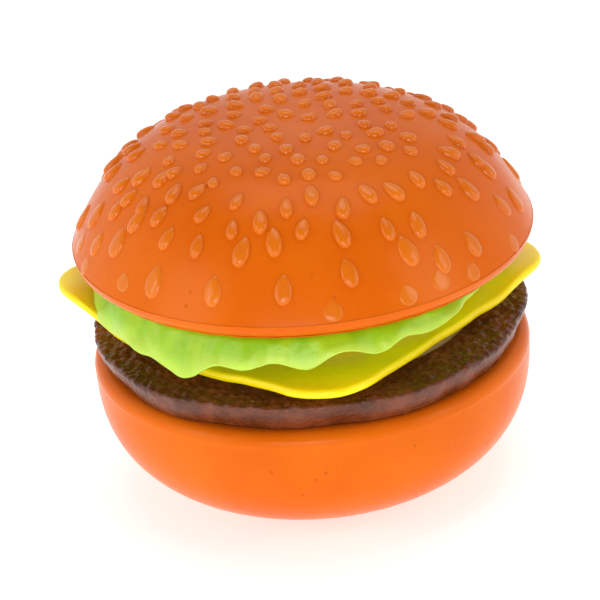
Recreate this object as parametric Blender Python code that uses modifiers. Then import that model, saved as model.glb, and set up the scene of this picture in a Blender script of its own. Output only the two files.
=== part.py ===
"""A clamshell telephone in the shape of a hamburger.

The upper bun, lettuce and cheese are the lid, which holds the earpiece. The patty and lower bun are
the base, which holds the keypad, the microphone and the line socket. Both halves turn on one hinge at
the back. The origin is the middle of the face that the telephone stands on, with +Z up and the front,
where the lid opens, towards -Y. All lengths are in metres.
"""

import math

import bmesh
import bpy
from mathutils import Matrix, Vector

MM = 0.001
GAP = 0.3 * MM  # air between pieces that touch on the real telephone
TURN_STEPS = 40  # flats around a bun
SMALL_STEPS = 16  # flats around a knob, post or hole

# Lower bun: a bowl that stands on a rubber pad
PAD_RADIUS = 25 * MM
PAD_THICKNESS = 2.0 * MM
PAD_PROUD = 0.8 * MM
HEEL_RADIUS = 62.5 * MM
HEEL_BASE_RADIUS = 30.5 * MM
HEEL_TOP = 40.7 * MM
HEEL_SHOULDER = 3.2 * MM  # radius of the soft edge round the top
HEEL_FULLNESS = 2.7
HEEL_SIDE = 1.7
HEEL_WALL = 2.4 * MM
LEDGE_INNER_RADIUS = 50.6 * MM  # flange that the deck and the patty lie on

# Patty and keypad deck
PATTY_HEIGHT = 8.4 * MM
PATTY_RADIUS = 62.2 * MM
PATTY_LEAN = 2.6 * MM  # how far the bottom edge is set in from the top one
PATTY_WAVE = 0.7 * MM
PATTY_LIP_RADIUS = 47.5 * MM
DECK_RADIUS = 52.6 * MM
DECK_THICKNESS = 2.4 * MM
DECK_RIM = 3.0 * MM  # thickness of its rim, which the patty holds down
DECK_RAISE = 4.0 * MM  # of its middle above its rim

# Upper bun
CROWN_RADIUS = 64.8 * MM
CROWN_LIFT = 20.8 * MM  # of its rim above the patty
CROWN_RISE = 31.5 * MM  # above its widest line
CROWN_FLATNESS = 4.0
CROWN_ROUNDING = 1.05
CROWN_WALL = 2.4 * MM
CROWN_RIM_DROP = 4.2 * MM  # of its rim below its widest line
CROWN_RIM_TUCK = 2.4 * MM

# Cheese slice and lettuce leaf
CHEESE_THICKNESS = 2.6 * MM
CHEESE_LIFT = 2.4 * MM  # clear of the patty, so that the lid closes
CHEESE_HALF_SIDE = 52.5 * MM
CHEESE_CORNER = 17 * MM
CHEESE_BACK = 4.0 * MM  # how far the slice is set towards the hinge
CHEESE_TURN = math.radians(3)
LEAF_THICKNESS = 1.6 * MM
LEAF_RADIUS = 59.5 * MM
LEAF_LIFT = 7.0 * MM  # height of its ruffled edge above the cheese
LEAF_RUFFLE = 2.0 * MM
LEAF_RUFFLES = 9

# Earpiece panel, which closes the lid from below
PANEL_CLEARANCE = 1.4 * MM  # above the patty's top
PANEL_RADIUS = 41.0 * MM
PANEL_THICKNESS = 2.4 * MM
PANEL_FLANGE_RADIUS = 43.6 * MM
PANEL_FLANGE_THICKNESS = 1.5 * MM
COLLAR_INNER_RADIUS = 42.6 * MM
COLLAR_RADIUS = 45.0 * MM
COLLAR_FLANGE_INSET = 1.0 * MM  # of its edge from the outside of the upper bun's rim
COLLAR_FLANGE = 1.6 * MM

# Hinge
HINGE_BEHIND = 4.0 * MM  # axis behind the upper bun's widest line
HINGE_ABOVE_PATTY = 0.8 * MM
KNUCKLE_RADIUS = 4.5 * MM
MIDDLE_KNUCKLE = 24.0 * MM
SIDE_KNUCKLE = 9.6 * MM
KNUCKLE_GAP = 0.4 * MM
HINGE_BORE_RADIUS = 2.8 * MM
HINGE_PIN_RADIUS = 2.5 * MM
HINGE_TUBE_BORE = 1.6 * MM
HINGE_PIN_LENGTH = 10.0 * MM
PANEL_ARM_THICKNESS = 5.0 * MM
DECK_ARM_THICKNESS = 8.4 * MM

# Keys
KEY_NAMES = ("1", "2", "3", "4", "5", "6", "7", "8", "9", "star", "0", "hash")
KEY_SIZE = (11.0 * MM, 8.6 * MM)
KEY_PITCH = (15.0 * MM, 12.3 * MM)
KEY_FIRST_ROW = 23.0 * MM
KEY_PROUD = 1.4 * MM
KEY_CLEARANCE = 0.35 * MM
KEY_TRAVEL = 1.2 * MM
KEY_FLANGE = 0.8 * MM
KEY_FLANGE_THICKNESS = 1.2 * MM
FUNCTION_KEYS = ("redial", "flash")
FUNCTION_KEY_X = 8.5 * MM
MAT_THICKNESS = 1.2 * MM
DOME_RADIUS = 3.6 * MM
DOME_HEIGHT = 3.1 * MM

# Electrics
BOARD_SIZE = (66 * MM, 68 * MM)
BOARD_CENTRE_Y = 2 * MM
BOARD_THICKNESS = 1.6 * MM
BOARD_STAKES = ((29 * MM, 33 * MM), (-29 * MM, 33 * MM), (29 * MM, -28 * MM), (-29 * MM, -28 * MM))
STAKE_RADIUS = 1.4 * MM  # posts under the deck that hold the board
MIC_Y = -38 * MM
MIC_RADIUS = 3.0 * MM
MIC_HEIGHT = 2.7 * MM
MIC_BOOT_WALL = 1.4 * MM
HOOK_ANGLE = 35.9  # degrees from +X
HOOK_INSET = 5.2 * MM  # of the hook from the panel's edge
HOOK_RADIUS = 1.8 * MM
HOOK_SWITCH_SIZE = (7 * MM, 7 * MM, 3 * MM)
HOOK_TRAVEL = 2.5 * MM
HOOK_ABOVE_DECK = 1.5 * MM
SPEAKER_INSET = 2.5 * MM  # of its edge from the post behind it
SPEAKER_RADIUS = 15.5 * MM
SPEAKER_FRAME = 3.5 * MM
SPEAKER_MAGNET_RADIUS = 9.5 * MM
SPEAKER_HEIGHT = 8.0 * MM
GASKET_THICKNESS = 1.0 * MM
GASKET_INNER_RADIUS = 10.5 * MM
CLAMP_EAR_X = 22 * MM
CLAMP_THICKNESS = 1.4 * MM
JACK_SIZE = (13.0 * MM, 15.0 * MM, 13.0 * MM)
JACK_Z = 27.5 * MM
JACK_INSET = 1.0 * MM  # of its face from the bun's widest line
JACK_MOUTH = (9.8 * MM, 12.0 * MM, 6.9 * MM)
JACK_LATCH = (6.2 * MM, 2.4 * MM)
RINGER_AT = (0.0, 6 * MM)  # on the ballast plate
RINGER_RADIUS = 11 * MM
RINGER_THICKNESS = 4 * MM
VENT_AT = (31 * MM, 15 * MM)  # sideways and up
VENTS = 5
BALLAST_RADIUS = 26 * MM
BALLAST_THICKNESS = 5 * MM
SWITCH_AZIMUTHS = {"ringer": 155, "dial_mode": 25}  # degrees from +X
SWITCH_Z = 26 * MM
SWITCH_RANGE = {"ringer": (-3.0 * MM, 3.0 * MM), "dial_mode": (0.0, 4.0 * MM)}
SWITCH_KNOB = (1.6 * MM, 4.6 * MM, 3.4 * MM)
SWITCH_STEM = (2.4 * MM, 2.0 * MM)
SWITCH_BODY = (5.0 * MM, 14.0 * MM, 6.0 * MM)
LEAD_RADIUS = 0.9 * MM
LEAD_CHANNEL_RADIUS = 1.6 * MM

# Fasteners
DECK_POSTS = ((44 * MM, 8 * MM), (-44 * MM, 8 * MM), (22 * MM, -41 * MM), (-22 * MM, -41 * MM))
LID_POST_ANGLES = (-32.7, 212.7, 90.0)  # degrees from +X
LID_POST_INSET = 7.5 * MM  # of the lid's posts from the panel's edge
POST_RADIUS = 3.6 * MM
DECK_POST_LENGTH = 18 * MM
SCREW_RADIUS = 1.25 * MM
SCREW_HEAD_RADIUS = 2.6 * MM
SCREW_HEAD_HEIGHT = 1.8 * MM
SCREW_SEAT_DEPTH = 10.9 * MM  # of the lower bun's screw seats below the deck's posts
SCREW_LENGTH = 20 * MM
LID_SCREW_LENGTH = 12 * MM
CLAMP_SCREW_LENGTH = 5 * MM
BUMPER_AT = ((34.5 * MM, -5 * MM), (-34.5 * MM, -5 * MM))
BUMPER_RADIUS = 2.2 * MM

LID_PIECES = (
    "top_bun_shell",
    "lettuce_leaf",
    "cheese_slice",
    "filling_collar",
    "earpiece_panel",
    "earpiece_gasket",
    "earpiece_speaker",
    "earpiece_clamp",
    "clamp_screw_left",
    "clamp_screw_right",
    "lid_screw_1",
    "lid_screw_2",
    "lid_screw_3",
    "earpiece_lead_lid",
)

# Heights that follow from the sizes above
HEEL_BOTTOM = PAD_PROUD
PATTY_BOTTOM = HEEL_TOP + GAP
PATTY_TOP = PATTY_BOTTOM + PATTY_HEIGHT
DECK_RIM_BOTTOM = HEEL_TOP + GAP
DECK_RIM_TOP = DECK_RIM_BOTTOM + DECK_RIM
DECK_TOP = DECK_RIM_TOP + DECK_RAISE
DECK_BOTTOM = DECK_TOP - DECK_THICKNESS
KEY_TOP = DECK_TOP + KEY_PROUD
KEY_FLANGE_TOP = DECK_BOTTOM - GAP
KEY_BOTTOM = KEY_FLANGE_TOP - KEY_FLANGE_THICKNESS
MAT_TOP = KEY_BOTTOM - KEY_TRAVEL - GAP - DOME_HEIGHT
MAT_BOTTOM = MAT_TOP - MAT_THICKNESS
BOARD_TOP = MAT_BOTTOM - GAP
CHEESE_BOTTOM = PATTY_TOP + CHEESE_LIFT
CHEESE_TOP = CHEESE_BOTTOM + CHEESE_THICKNESS
PANEL_BOTTOM = PATTY_TOP + PANEL_CLEARANCE
PANEL_TOP = PANEL_BOTTOM + PANEL_THICKNESS
FLANGE_BOTTOM = CHEESE_TOP + GAP
FLANGE_TOP = FLANGE_BOTTOM + PANEL_FLANGE_THICKNESS
LEAF_BOTTOM = FLANGE_TOP + GAP
CROWN_RIM = PATTY_TOP + CROWN_LIFT
CROWN_SEAM = CROWN_RIM + CROWN_RIM_DROP
COLLAR_FLANGE_RADIUS = CROWN_RADIUS - CROWN_RIM_TUCK - COLLAR_FLANGE_INSET
COLLAR_BOTTOM = LEAF_BOTTOM + LEAF_THICKNESS + GAP
COLLAR_TOP = CROWN_RIM - GAP
HINGE_Y = CROWN_RADIUS + HINGE_BEHIND
HINGE_Z = PATTY_TOP + HINGE_ABOVE_PATTY
SIDE_KNUCKLE_X = (MIDDLE_KNUCKLE + SIDE_KNUCKLE) / 2 + KNUCKLE_GAP
PIN_X = MIDDLE_KNUCKLE / 2
FUNCTION_KEY_Y = KEY_FIRST_ROW - 4 * KEY_PITCH[1]
SCREW_SEAT = DECK_BOTTOM - DECK_POST_LENGTH - SCREW_SEAT_DEPTH
HOOK_AT = (
    (PANEL_RADIUS - HOOK_INSET) * math.cos(math.radians(HOOK_ANGLE)),
    (PANEL_RADIUS - HOOK_INSET) * math.sin(math.radians(HOOK_ANGLE)),
)
LID_POST_RING = PANEL_RADIUS - LID_POST_INSET
LID_POSTS = tuple(
    (LID_POST_RING * math.cos(math.radians(a)), LID_POST_RING * math.sin(math.radians(a))) for a in LID_POST_ANGLES
)
SPEAKER_Y = LID_POST_RING - POST_RADIUS - SPEAKER_INSET - SPEAKER_RADIUS

# Colours, as linear red, green and blue
COLOURS = {
    "crown_orange": ((0.72, 0.15, 0.012), 0.28, 0.0),
    "heel_orange": ((0.90, 0.18, 0.012), 0.32, 0.0),
    "patty_brown": ((0.11, 0.028, 0.008), 0.3, 0.0),
    "cheese_yellow": ((0.75, 0.55, 0.004), 0.35, 0.0),
    "lettuce_green": ((0.50, 0.72, 0.05), 0.35, 0.0),
    "cream_plastic": ((0.72, 0.60, 0.42), 0.4, 0.0),
    "key_ivory": ((0.85, 0.82, 0.74), 0.35, 0.0),
    "black_rubber": ((0.02, 0.02, 0.02), 0.8, 0.0),
    "grey_rubber": ((0.22, 0.22, 0.22), 0.75, 0.0),
    "black_plastic": ((0.015, 0.015, 0.016), 0.35, 0.0),
    "board_green": ((0.02, 0.14, 0.05), 0.5, 0.0),
    "steel": ((0.55, 0.55, 0.56), 0.35, 1.0),
    "brass": ((0.70, 0.50, 0.22), 0.3, 1.0),
    "lead_red": ((0.45, 0.02, 0.02), 0.5, 0.0),
}


def start_scene():
    """Empties the scene and makes one collection for the pieces and one for what shapes them."""
    for obj in list(bpy.data.objects):
        bpy.data.objects.remove(obj)
    for name in ("hamburger_telephone", "shaping_tools"):
        bpy.context.scene.collection.children.link(bpy.data.collections.new(name))


def material(name):
    found = bpy.data.materials.get(name)
    if found:
        return found
    rgb, roughness, metallic = COLOURS[name]
    made = bpy.data.materials.new(name)
    made.use_nodes = True
    shader = made.node_tree.nodes["Principled BSDF"]
    shader.inputs["Base Color"].default_value = (*rgb, 1)
    shader.inputs["Roughness"].default_value = roughness
    shader.inputs["Metallic"].default_value = metallic
    return made


def place(obj, name, finish=None):
    """Names an object and files it: a piece when it has a finish, otherwise a shaping tool."""
    obj.name = name
    for collection in list(obj.users_collection):
        collection.objects.unlink(obj)
    bpy.data.collections["hamburger_telephone" if finish else "shaping_tools"].objects.link(obj)
    if finish:
        obj.data.materials.append(material(finish))
    else:
        obj.hide_render = True
        obj.display_type = "WIRE"
    return obj


def from_bmesh(name, shape, finish=None):
    mesh = bpy.data.meshes.new(name)
    shape.to_mesh(mesh)
    shape.free()
    return place(bpy.data.objects.new(name, mesh), name, finish)


def turned(name, profile, finish=None, ring=False, steps=TURN_STEPS, at=(0, 0, 0)):
    """Turns (radius, height) points about Z. They run down the outside and then up the inside."""
    mesh = bpy.data.meshes.new(name)
    count = len(profile)
    edges = [(i, i + 1) for i in range(count - 1)]
    if ring:
        edges.append((count - 1, 0))
    mesh.from_pydata([(r, 0, z) for r, z in profile], edges, [])
    obj = place(bpy.data.objects.new(name, mesh), name, finish)
    obj.location = at
    screw = obj.modifiers.new("turn", "SCREW")
    screw.steps = screw.render_steps = steps
    screw.use_merge_vertices = True
    screw.merge_threshold = 0.00001
    screw.use_smooth_shade = True
    return obj


def block(name, size, centre, finish=None, round_edges=0.0, segments=1):
    bpy.ops.mesh.primitive_cube_add(size=1, location=centre)
    obj = place(bpy.context.object, name, finish)
    obj.data.transform(Matrix.Diagonal((*size, 1)))
    if round_edges:
        bevel = obj.modifiers.new("rounded", "BEVEL")
        bevel.width = round_edges
        bevel.segments = segments
    return obj


def rod(name, radius, low, high, finish=None, steps=SMALL_STEPS, end_radius=None):
    """A cylinder, or a cone where end_radius is given, from point low to point high."""
    low, high = Vector(low), Vector(high)
    shape = bmesh.new()
    bmesh.ops.create_cone(
        shape,
        cap_ends=True,
        segments=steps,
        radius1=radius,
        radius2=radius if end_radius is None else end_radius,
        depth=(high - low).length,
    )
    obj = from_bmesh(name, shape, finish)
    obj.location = (low + high) / 2
    obj.rotation_euler = (high - low).to_track_quat("Z", "Y").to_euler()
    return obj


def carry(obj, carrier):
    """Parents an object to another without moving it."""
    obj.parent = carrier
    obj.matrix_parent_inverse = carrier.matrix_basis.inverted()


def boolean(obj, other, operation):
    modifier = obj.modifiers.new(other.name, "BOOLEAN")
    modifier.operation = operation
    modifier.solver = "EXACT"
    modifier.object = other
    carry(other, obj)


def cut(obj, *cutters):
    for cutter in cutters:
        boolean(obj, cutter, "DIFFERENCE")


def join(obj, *others):
    for other in others:
        boolean(obj, other, "UNION")


def loft_ring(name, section, steps, finish):
    """A closed ring through the cross-section (radius, height) points that section(angle) gives."""
    shape = bmesh.new()
    loops = []
    for i in range(steps):
        angle = 2 * math.pi * i / steps
        c, s = math.cos(angle), math.sin(angle)
        loops.append([shape.verts.new((r * c, r * s, z)) for r, z in section(angle)])
    for loop, after in zip(loops, loops[1:] + loops[:1]):
        for j in range(len(loop)):
            k = (j + 1) % len(loop)
            shape.faces.new((loop[j], after[j], after[k], loop[k]))
    bmesh.ops.recalc_face_normals(shape, faces=shape.faces)
    return from_bmesh(name, shape, finish)


def smooth_route(points, spacing):
    """Points about spacing apart on a Catmull-Rom curve through the given ones."""
    ends = [2 * points[0] - points[1], *points, 2 * points[-1] - points[-2]]
    found = []
    for a, b, c, d in zip(ends, ends[1:], ends[2:], ends[3:]):
        steps = max(1, round((c - b).length / spacing))
        for i in range(steps):
            t = i / steps
            square = (2 * a - 5 * b + 4 * c - d) * t**2
            cube = (3 * b - a - 3 * c + d) * t**3
            found.append(0.5 * (2 * b + (c - a) * t + square + cube))
    return [*found, points[-1]]


def lead(name, points, radius, finish=None):
    """A round lead, or the channel for one, along a smooth route."""
    curve = bpy.data.curves.new(name, "CURVE")
    curve.dimensions = "3D"
    curve.bevel_depth = radius
    curve.bevel_resolution = 2
    curve.use_fill_caps = True
    route = smooth_route([Vector(p) for p in points], 2.4 * LEAD_RADIUS * 2)
    spline = curve.splines.new("POLY")
    spline.points.add(len(route) - 1)
    for point, at in zip(spline.points, route):
        point.co = (*at, 1)
    obj = place(bpy.data.objects.new(name, curve), name, finish)
    return obj if finish else as_mesh(obj)


def as_mesh(obj):
    """The curve as a closed mesh, so that it can cut."""
    bpy.context.view_layer.update()
    graph = bpy.context.evaluated_depsgraph_get()
    mesh = bpy.data.meshes.new_from_object(obj.evaluated_get(graph))
    shape = bmesh.new()
    shape.from_mesh(mesh)
    bmesh.ops.remove_doubles(shape, verts=shape.verts, dist=0.00001)
    shape.to_mesh(mesh)
    shape.free()
    made = bpy.data.objects.new(obj.name + "_mesh", mesh)
    made.matrix_world = obj.matrix_world
    bpy.data.objects.remove(obj)
    return place(made, made.name)


def heel_radius(height):
    """Outer radius of the lower bun's side at a height."""
    widest = HEEL_TOP - HEEL_SHOULDER
    t = max(0.0, min(1.0, (widest - height) / (widest - HEEL_BOTTOM)))
    return HEEL_BASE_RADIUS + (HEEL_RADIUS - HEEL_BASE_RADIUS) * (1 - t**HEEL_FULLNESS) ** (1 / HEEL_SIDE)


def crown_height(radius):
    """Height of the upper bun's outer face at a radius."""
    return CROWN_SEAM + CROWN_RISE * (1 - (radius / CROWN_RADIUS) ** CROWN_FLATNESS) ** (1 / CROWN_ROUNDING)


def offset_inwards(points, wall):
    """The (radius, height) points moved by wall towards the inside of a shell."""
    moved = []
    for before, point, after in zip(points[:1] + points, points, points[1:] + points[-1:]):
        along = Vector((after[0] - before[0], after[1] - before[1])).normalized()
        moved.append((max(0.0, point[0] + along.y * wall), point[1] - along.x * wall))
    return moved


def top_bun_shell():
    shares = [0, 0.25, 0.45, 0.62, 0.76, 0.87, 0.95, 0.985, 1]
    outside = [(CROWN_RADIUS * s, crown_height(CROWN_RADIUS * s)) for s in shares]
    outside += [
        (
            CROWN_RADIUS - CROWN_RIM_TUCK * (1 - math.cos(a)),
            CROWN_SEAM - (CROWN_RIM_DROP - CROWN_WALL / 2) * math.sin(a),
        )
        for a in (math.pi / 6, math.pi / 3, math.pi / 2)
    ]
    rim = CROWN_RADIUS - CROWN_RIM_TUCK - CROWN_WALL / 2
    inside = offset_inwards(outside[:-3], CROWN_WALL)
    inside[0] = (0.0, outside[0][1] - CROWN_WALL)
    profile = [*outside, (rim, CROWN_RIM), (rim - CROWN_WALL / 2, CROWN_RIM), *reversed(inside)]
    shell = turned("top_bun_shell", profile, "crown_orange")
    for i, (x, y) in enumerate(LID_POSTS, 1):
        top = crown_height(math.hypot(x, y) + POST_RADIUS) - CROWN_WALL / 2
        boss = rod(f"crown_boss_{i}", POST_RADIUS, (x, y, PANEL_TOP + GAP), (x, y, top), steps=12)
        join(shell, boss)
        pilot_top = PANEL_TOP + LID_SCREW_LENGTH
        cut(shell, rod(f"crown_pilot_{i}", SCREW_RADIUS + GAP, (x, y, 0), (x, y, pilot_top), steps=12))
    return shell


def bottom_bun_shell():
    widest = HEEL_TOP - HEEL_SHOULDER
    shoulder = [
        (HEEL_RADIUS - HEEL_SHOULDER * (1 - math.cos(a)), widest + HEEL_SHOULDER * math.sin(a))
        for a in (math.radians(d) for d in (90, 60, 30, 0))
    ]
    shares = (0.3, 0.55, 0.75, 0.88, 0.955, 0.99)
    heights = [widest + (HEEL_BOTTOM - widest) * s for s in shares]
    side = [(heel_radius(z), z) for z in heights] + [(HEEL_BASE_RADIUS, HEEL_BOTTOM)]
    under_ledge = HEEL_TOP - HEEL_WALL
    inside = offset_inwards(side, HEEL_WALL)
    inside[-1] = (HEEL_BASE_RADIUS, HEEL_BOTTOM + HEEL_WALL)
    profile = [
        (0, HEEL_BOTTOM + HEEL_WALL),
        *reversed(inside),
        (HEEL_RADIUS - HEEL_WALL, widest),
        (HEEL_RADIUS - 2 * HEEL_WALL, under_ledge),
        (LEDGE_INNER_RADIUS, under_ledge),
        (LEDGE_INNER_RADIUS, HEEL_TOP),
        *shoulder,
        *side,
        (0, HEEL_BOTTOM),
    ]
    shell = turned("bottom_bun_shell", profile, "heel_orange")
    pad_roof = HEEL_BOTTOM - PAD_PROUD + PAD_THICKNESS + GAP
    cut(shell, rod("pad_recess", PAD_RADIUS + GAP, (0, 0, -0.01), (0, 0, pad_roof), steps=32))
    boss_top = DECK_BOTTOM - DECK_POST_LENGTH - GAP
    for i, (x, y) in enumerate(DECK_POSTS, 1):
        floor = HEEL_BOTTOM + HEEL_WALL
        while heel_radius(floor) < math.hypot(x, y) + SCREW_HEAD_RADIUS:
            floor += HEEL_WALL / 4
        boss = rod(f"heel_boss_{i}", POST_RADIUS + MM, (x, y, floor), (x, y, boss_top))
        join(shell, boss)
        seat = rod(f"heel_seat_{i}", SCREW_HEAD_RADIUS + GAP, (x, y, -0.01), (x, y, SCREW_SEAT))
        hole = rod(f"heel_hole_{i}", SCREW_RADIUS + GAP, (x, y, 0), (x, y, HEEL_TOP), steps=12)
        cut(shell, seat, hole)
    face = HEEL_RADIUS - JACK_INSET
    opening = (JACK_SIZE[0] + 2 * GAP, 2 * JACK_SIZE[1], JACK_SIZE[2] + 2 * GAP)
    cut(shell, block("jack_opening", opening, (0, face, JACK_Z)))
    for name, degrees in SWITCH_AZIMUTHS.items():
        back, forward = SWITCH_RANGE[name]
        slot = (8 * HEEL_WALL, SWITCH_STEM[0] + forward - back + 2 * GAP, SWITCH_STEM[1] + 2 * GAP)
        at = (heel_radius(SWITCH_Z), (back + forward) / 2, SWITCH_Z)
        cut(shell, turned_out(block(f"{name}_slot", slot, at), degrees))
    for i in range(VENTS):
        x = VENT_AT[0] + (i - VENTS // 2) * 3 * MM
        at = (x, math.sqrt(HEEL_RADIUS**2 - x**2), VENT_AT[1])
        cut(shell, block(f"ringer_vent_{i}", (1.2 * MM, 30 * MM, 6 * MM), at))
    return shell


def turned_out(obj, degrees):
    """Swings a piece that was placed towards +X round the Z axis to an azimuth."""
    turn = Matrix.Rotation(math.radians(degrees), 4, "Z")
    obj.location = turn @ obj.location
    obj.rotation_euler = (0, 0, math.radians(degrees))
    return obj


def patty():
    def section(angle):
        wave = PATTY_WAVE * (math.sin(5 * angle + 0.6) + 0.6 * math.sin(11 * angle + 2.0))
        top = PATTY_RADIUS + wave
        edge = 1.2 * MM
        rebate = DECK_RADIUS + GAP
        step = DECK_RIM_TOP + GAP
        return [
            (PATTY_LIP_RADIUS, PATTY_TOP),
            (top - edge, PATTY_TOP),
            (top, PATTY_TOP - edge),
            (top - PATTY_LEAN, PATTY_BOTTOM + edge / 2),
            (top - PATTY_LEAN - edge, PATTY_BOTTOM),
            (rebate, PATTY_BOTTOM),
            (rebate, step),
            (PATTY_LIP_RADIUS, step),
        ]

    ring = loft_ring("patty", section, 60, "patty_brown")
    notch = (MIDDLE_KNUCKLE + 2 * MM, HINGE_Y, 2 * PATTY_HEIGHT)
    cut(ring, block("patty_notch", notch, (0, HINGE_Y, PATTY_TOP)))
    return ring


def rounded_square_radius(angle):
    """Distance from the middle of the cheese slice to its edge, with a corner at angle 0."""
    folded = abs((angle + math.pi / 4) % (math.pi / 2) - math.pi / 4)
    from_side = math.pi / 4 - folded
    c, s = math.cos(from_side), math.sin(from_side)
    core = CHEESE_HALF_SIDE - CHEESE_CORNER
    if CHEESE_HALF_SIDE * s / c <= core:
        return CHEESE_HALF_SIDE / c
    along = core * (c + s)
    return along + math.sqrt(along**2 - 2 * core**2 + CHEESE_CORNER**2)


def cheese():
    """A square slice with a round hole for the earpiece panel, cut away round the hinge."""
    shape = bmesh.new()
    steps = 64
    rings = []
    for z in (CHEESE_TOP, CHEESE_BOTTOM):
        edge, hole = [], []
        for i in range(steps):
            angle = 2 * math.pi * i / steps
            r = rounded_square_radius(angle - CHEESE_TURN)
            edge.append(shape.verts.new((r * math.cos(angle), r * math.sin(angle) + CHEESE_BACK, z)))
            r = PANEL_RADIUS + GAP
            hole.append(shape.verts.new((r * math.cos(angle), r * math.sin(angle), z)))
        rings.append((edge, hole))
    (edge_top, hole_top), (edge_low, hole_low) = rings
    for i in range(steps):
        j = (i + 1) % steps
        for a, b in ((edge_top, hole_top), (hole_top, hole_low), (hole_low, edge_low), (edge_low, edge_top)):
            shape.faces.new((a[i], a[j], b[j], b[i]))
    bmesh.ops.recalc_face_normals(shape, faces=shape.faces)
    slice_ = from_bmesh("cheese_slice", shape, "cheese_yellow")
    half_width = SIDE_KNUCKLE_X + SIDE_KNUCKLE / 2 + MM
    depth = HINGE_Y
    centre = (0, PANEL_RADIUS - 8 * MM + depth / 2, CHEESE_TOP)
    cut(slice_, block("cheese_notch", (2 * half_width, depth, 0.02), centre))
    return slice_


def lettuce():
    """A leaf that lies flat round the collar, with an edge that rises and falls."""

    def section(angle):
        front_left = math.exp(-(((angle - math.radians(222)) / 0.5) ** 2))
        ruffle = LEAF_RUFFLE * math.sin(LEAF_RUFFLES * angle)
        hinge_side = max(0.0, math.sin(angle)) ** 4
        edge_z = LEAF_BOTTOM + LEAF_LIFT * 0.45 + ruffle - (LEAF_LIFT * 0.5) * front_left
        edge_r = LEAF_RADIUS + ruffle * 0.5 - 3 * MM * hinge_side
        inner, bend = COLLAR_INNER_RADIUS, COLLAR_RADIUS + MM
        return [
            (inner, LEAF_BOTTOM + LEAF_THICKNESS),
            (bend, LEAF_BOTTOM + LEAF_THICKNESS),
            (edge_r, max(edge_z, LEAF_BOTTOM) + LEAF_THICKNESS),
            (edge_r, max(edge_z, LEAF_BOTTOM)),
            (bend, LEAF_BOTTOM),
            (inner, LEAF_BOTTOM),
        ]

    return loft_ring("lettuce_leaf", section, 72, "lettuce_green")


def collar():
    """The ring that holds the lettuce and cheese off the upper bun."""
    profile = [
        (COLLAR_FLANGE_RADIUS, COLLAR_TOP),
        (COLLAR_FLANGE_RADIUS, COLLAR_TOP - COLLAR_FLANGE),
        (COLLAR_RADIUS, COLLAR_TOP - COLLAR_FLANGE),
        (COLLAR_RADIUS, COLLAR_BOTTOM),
        (COLLAR_INNER_RADIUS, COLLAR_BOTTOM),
        (COLLAR_INNER_RADIUS, COLLAR_TOP),
    ]
    return turned("filling_collar", profile, "crown_orange", ring=True)


def knuckle(name, x, length):
    """One barrel of the hinge, centred at x on its axis."""
    low, high = (x - length / 2, HINGE_Y, HINGE_Z), (x + length / 2, HINGE_Y, HINGE_Z)
    return rod(name, KNUCKLE_RADIUS, low, high, steps=24)


def hinge_bore(name):
    half = SIDE_KNUCKLE_X + SIDE_KNUCKLE / 2
    low, high = (-half + 1.4 * MM, HINGE_Y, HINGE_Z), (half - 1.4 * MM, HINGE_Y, HINGE_Z)
    return rod(name, HINGE_BORE_RADIUS, low, high)


def base_lead_route():
    """From the main board, up through the deck's arm, to the middle of the hinge tube."""
    return (
        (5 * MM, 31 * MM, BOARD_TOP + 1.4 * MM),
        (5 * MM, 38 * MM, BOARD_TOP + 3.2 * MM),
        (4 * MM, 45 * MM, DECK_RIM_BOTTOM + 2.8 * MM),
        (2 * MM, 52 * MM, DECK_RIM_BOTTOM + 3.9 * MM),
        (0, HINGE_Y - 9 * MM, HINGE_Z - 4.2 * MM),
        (-1 * MM, HINGE_Y - 4 * MM, HINGE_Z - 2 * MM),
        (-3 * MM, HINGE_Y - 1 * MM, HINGE_Z - 0.4 * MM),
        (HINGE_PIN_LENGTH / 2 - PIN_X, HINGE_Y, HINGE_Z),
        (-PIN_X, HINGE_Y, HINGE_Z),
    )


def lid_lead_route():
    """From the middle of the hinge tube, along the panel's arm, to the earpiece."""
    outer = -PIN_X - HINGE_PIN_LENGTH / 2
    in_arm = PANEL_BOTTOM + PANEL_ARM_THICKNESS / 2
    return (
        (-PIN_X - GAP, HINGE_Y, HINGE_Z),
        (outer + 1.2 * MM, HINGE_Y, HINGE_Z),
        (outer - 2.0 * MM, HINGE_Y - 1.6 * MM, HINGE_Z + 0.8 * MM),
        (outer - 2.0 * MM, HINGE_Y - 7 * MM, in_arm),
        (outer - 1.0 * MM, HINGE_Y - 14 * MM, in_arm),
        (outer, PANEL_RADIUS + 3 * MM, in_arm),
        (outer + 1 * MM, PANEL_RADIUS - 6 * MM, in_arm + 0.6 * MM),
        (outer + 4 * MM, PANEL_RADIUS - 10 * MM, PANEL_TOP + 3 * MM),
        (-8 * MM, SPEAKER_Y + SPEAKER_RADIUS + 2 * MM, PANEL_TOP + 4 * MM),
    )


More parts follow.
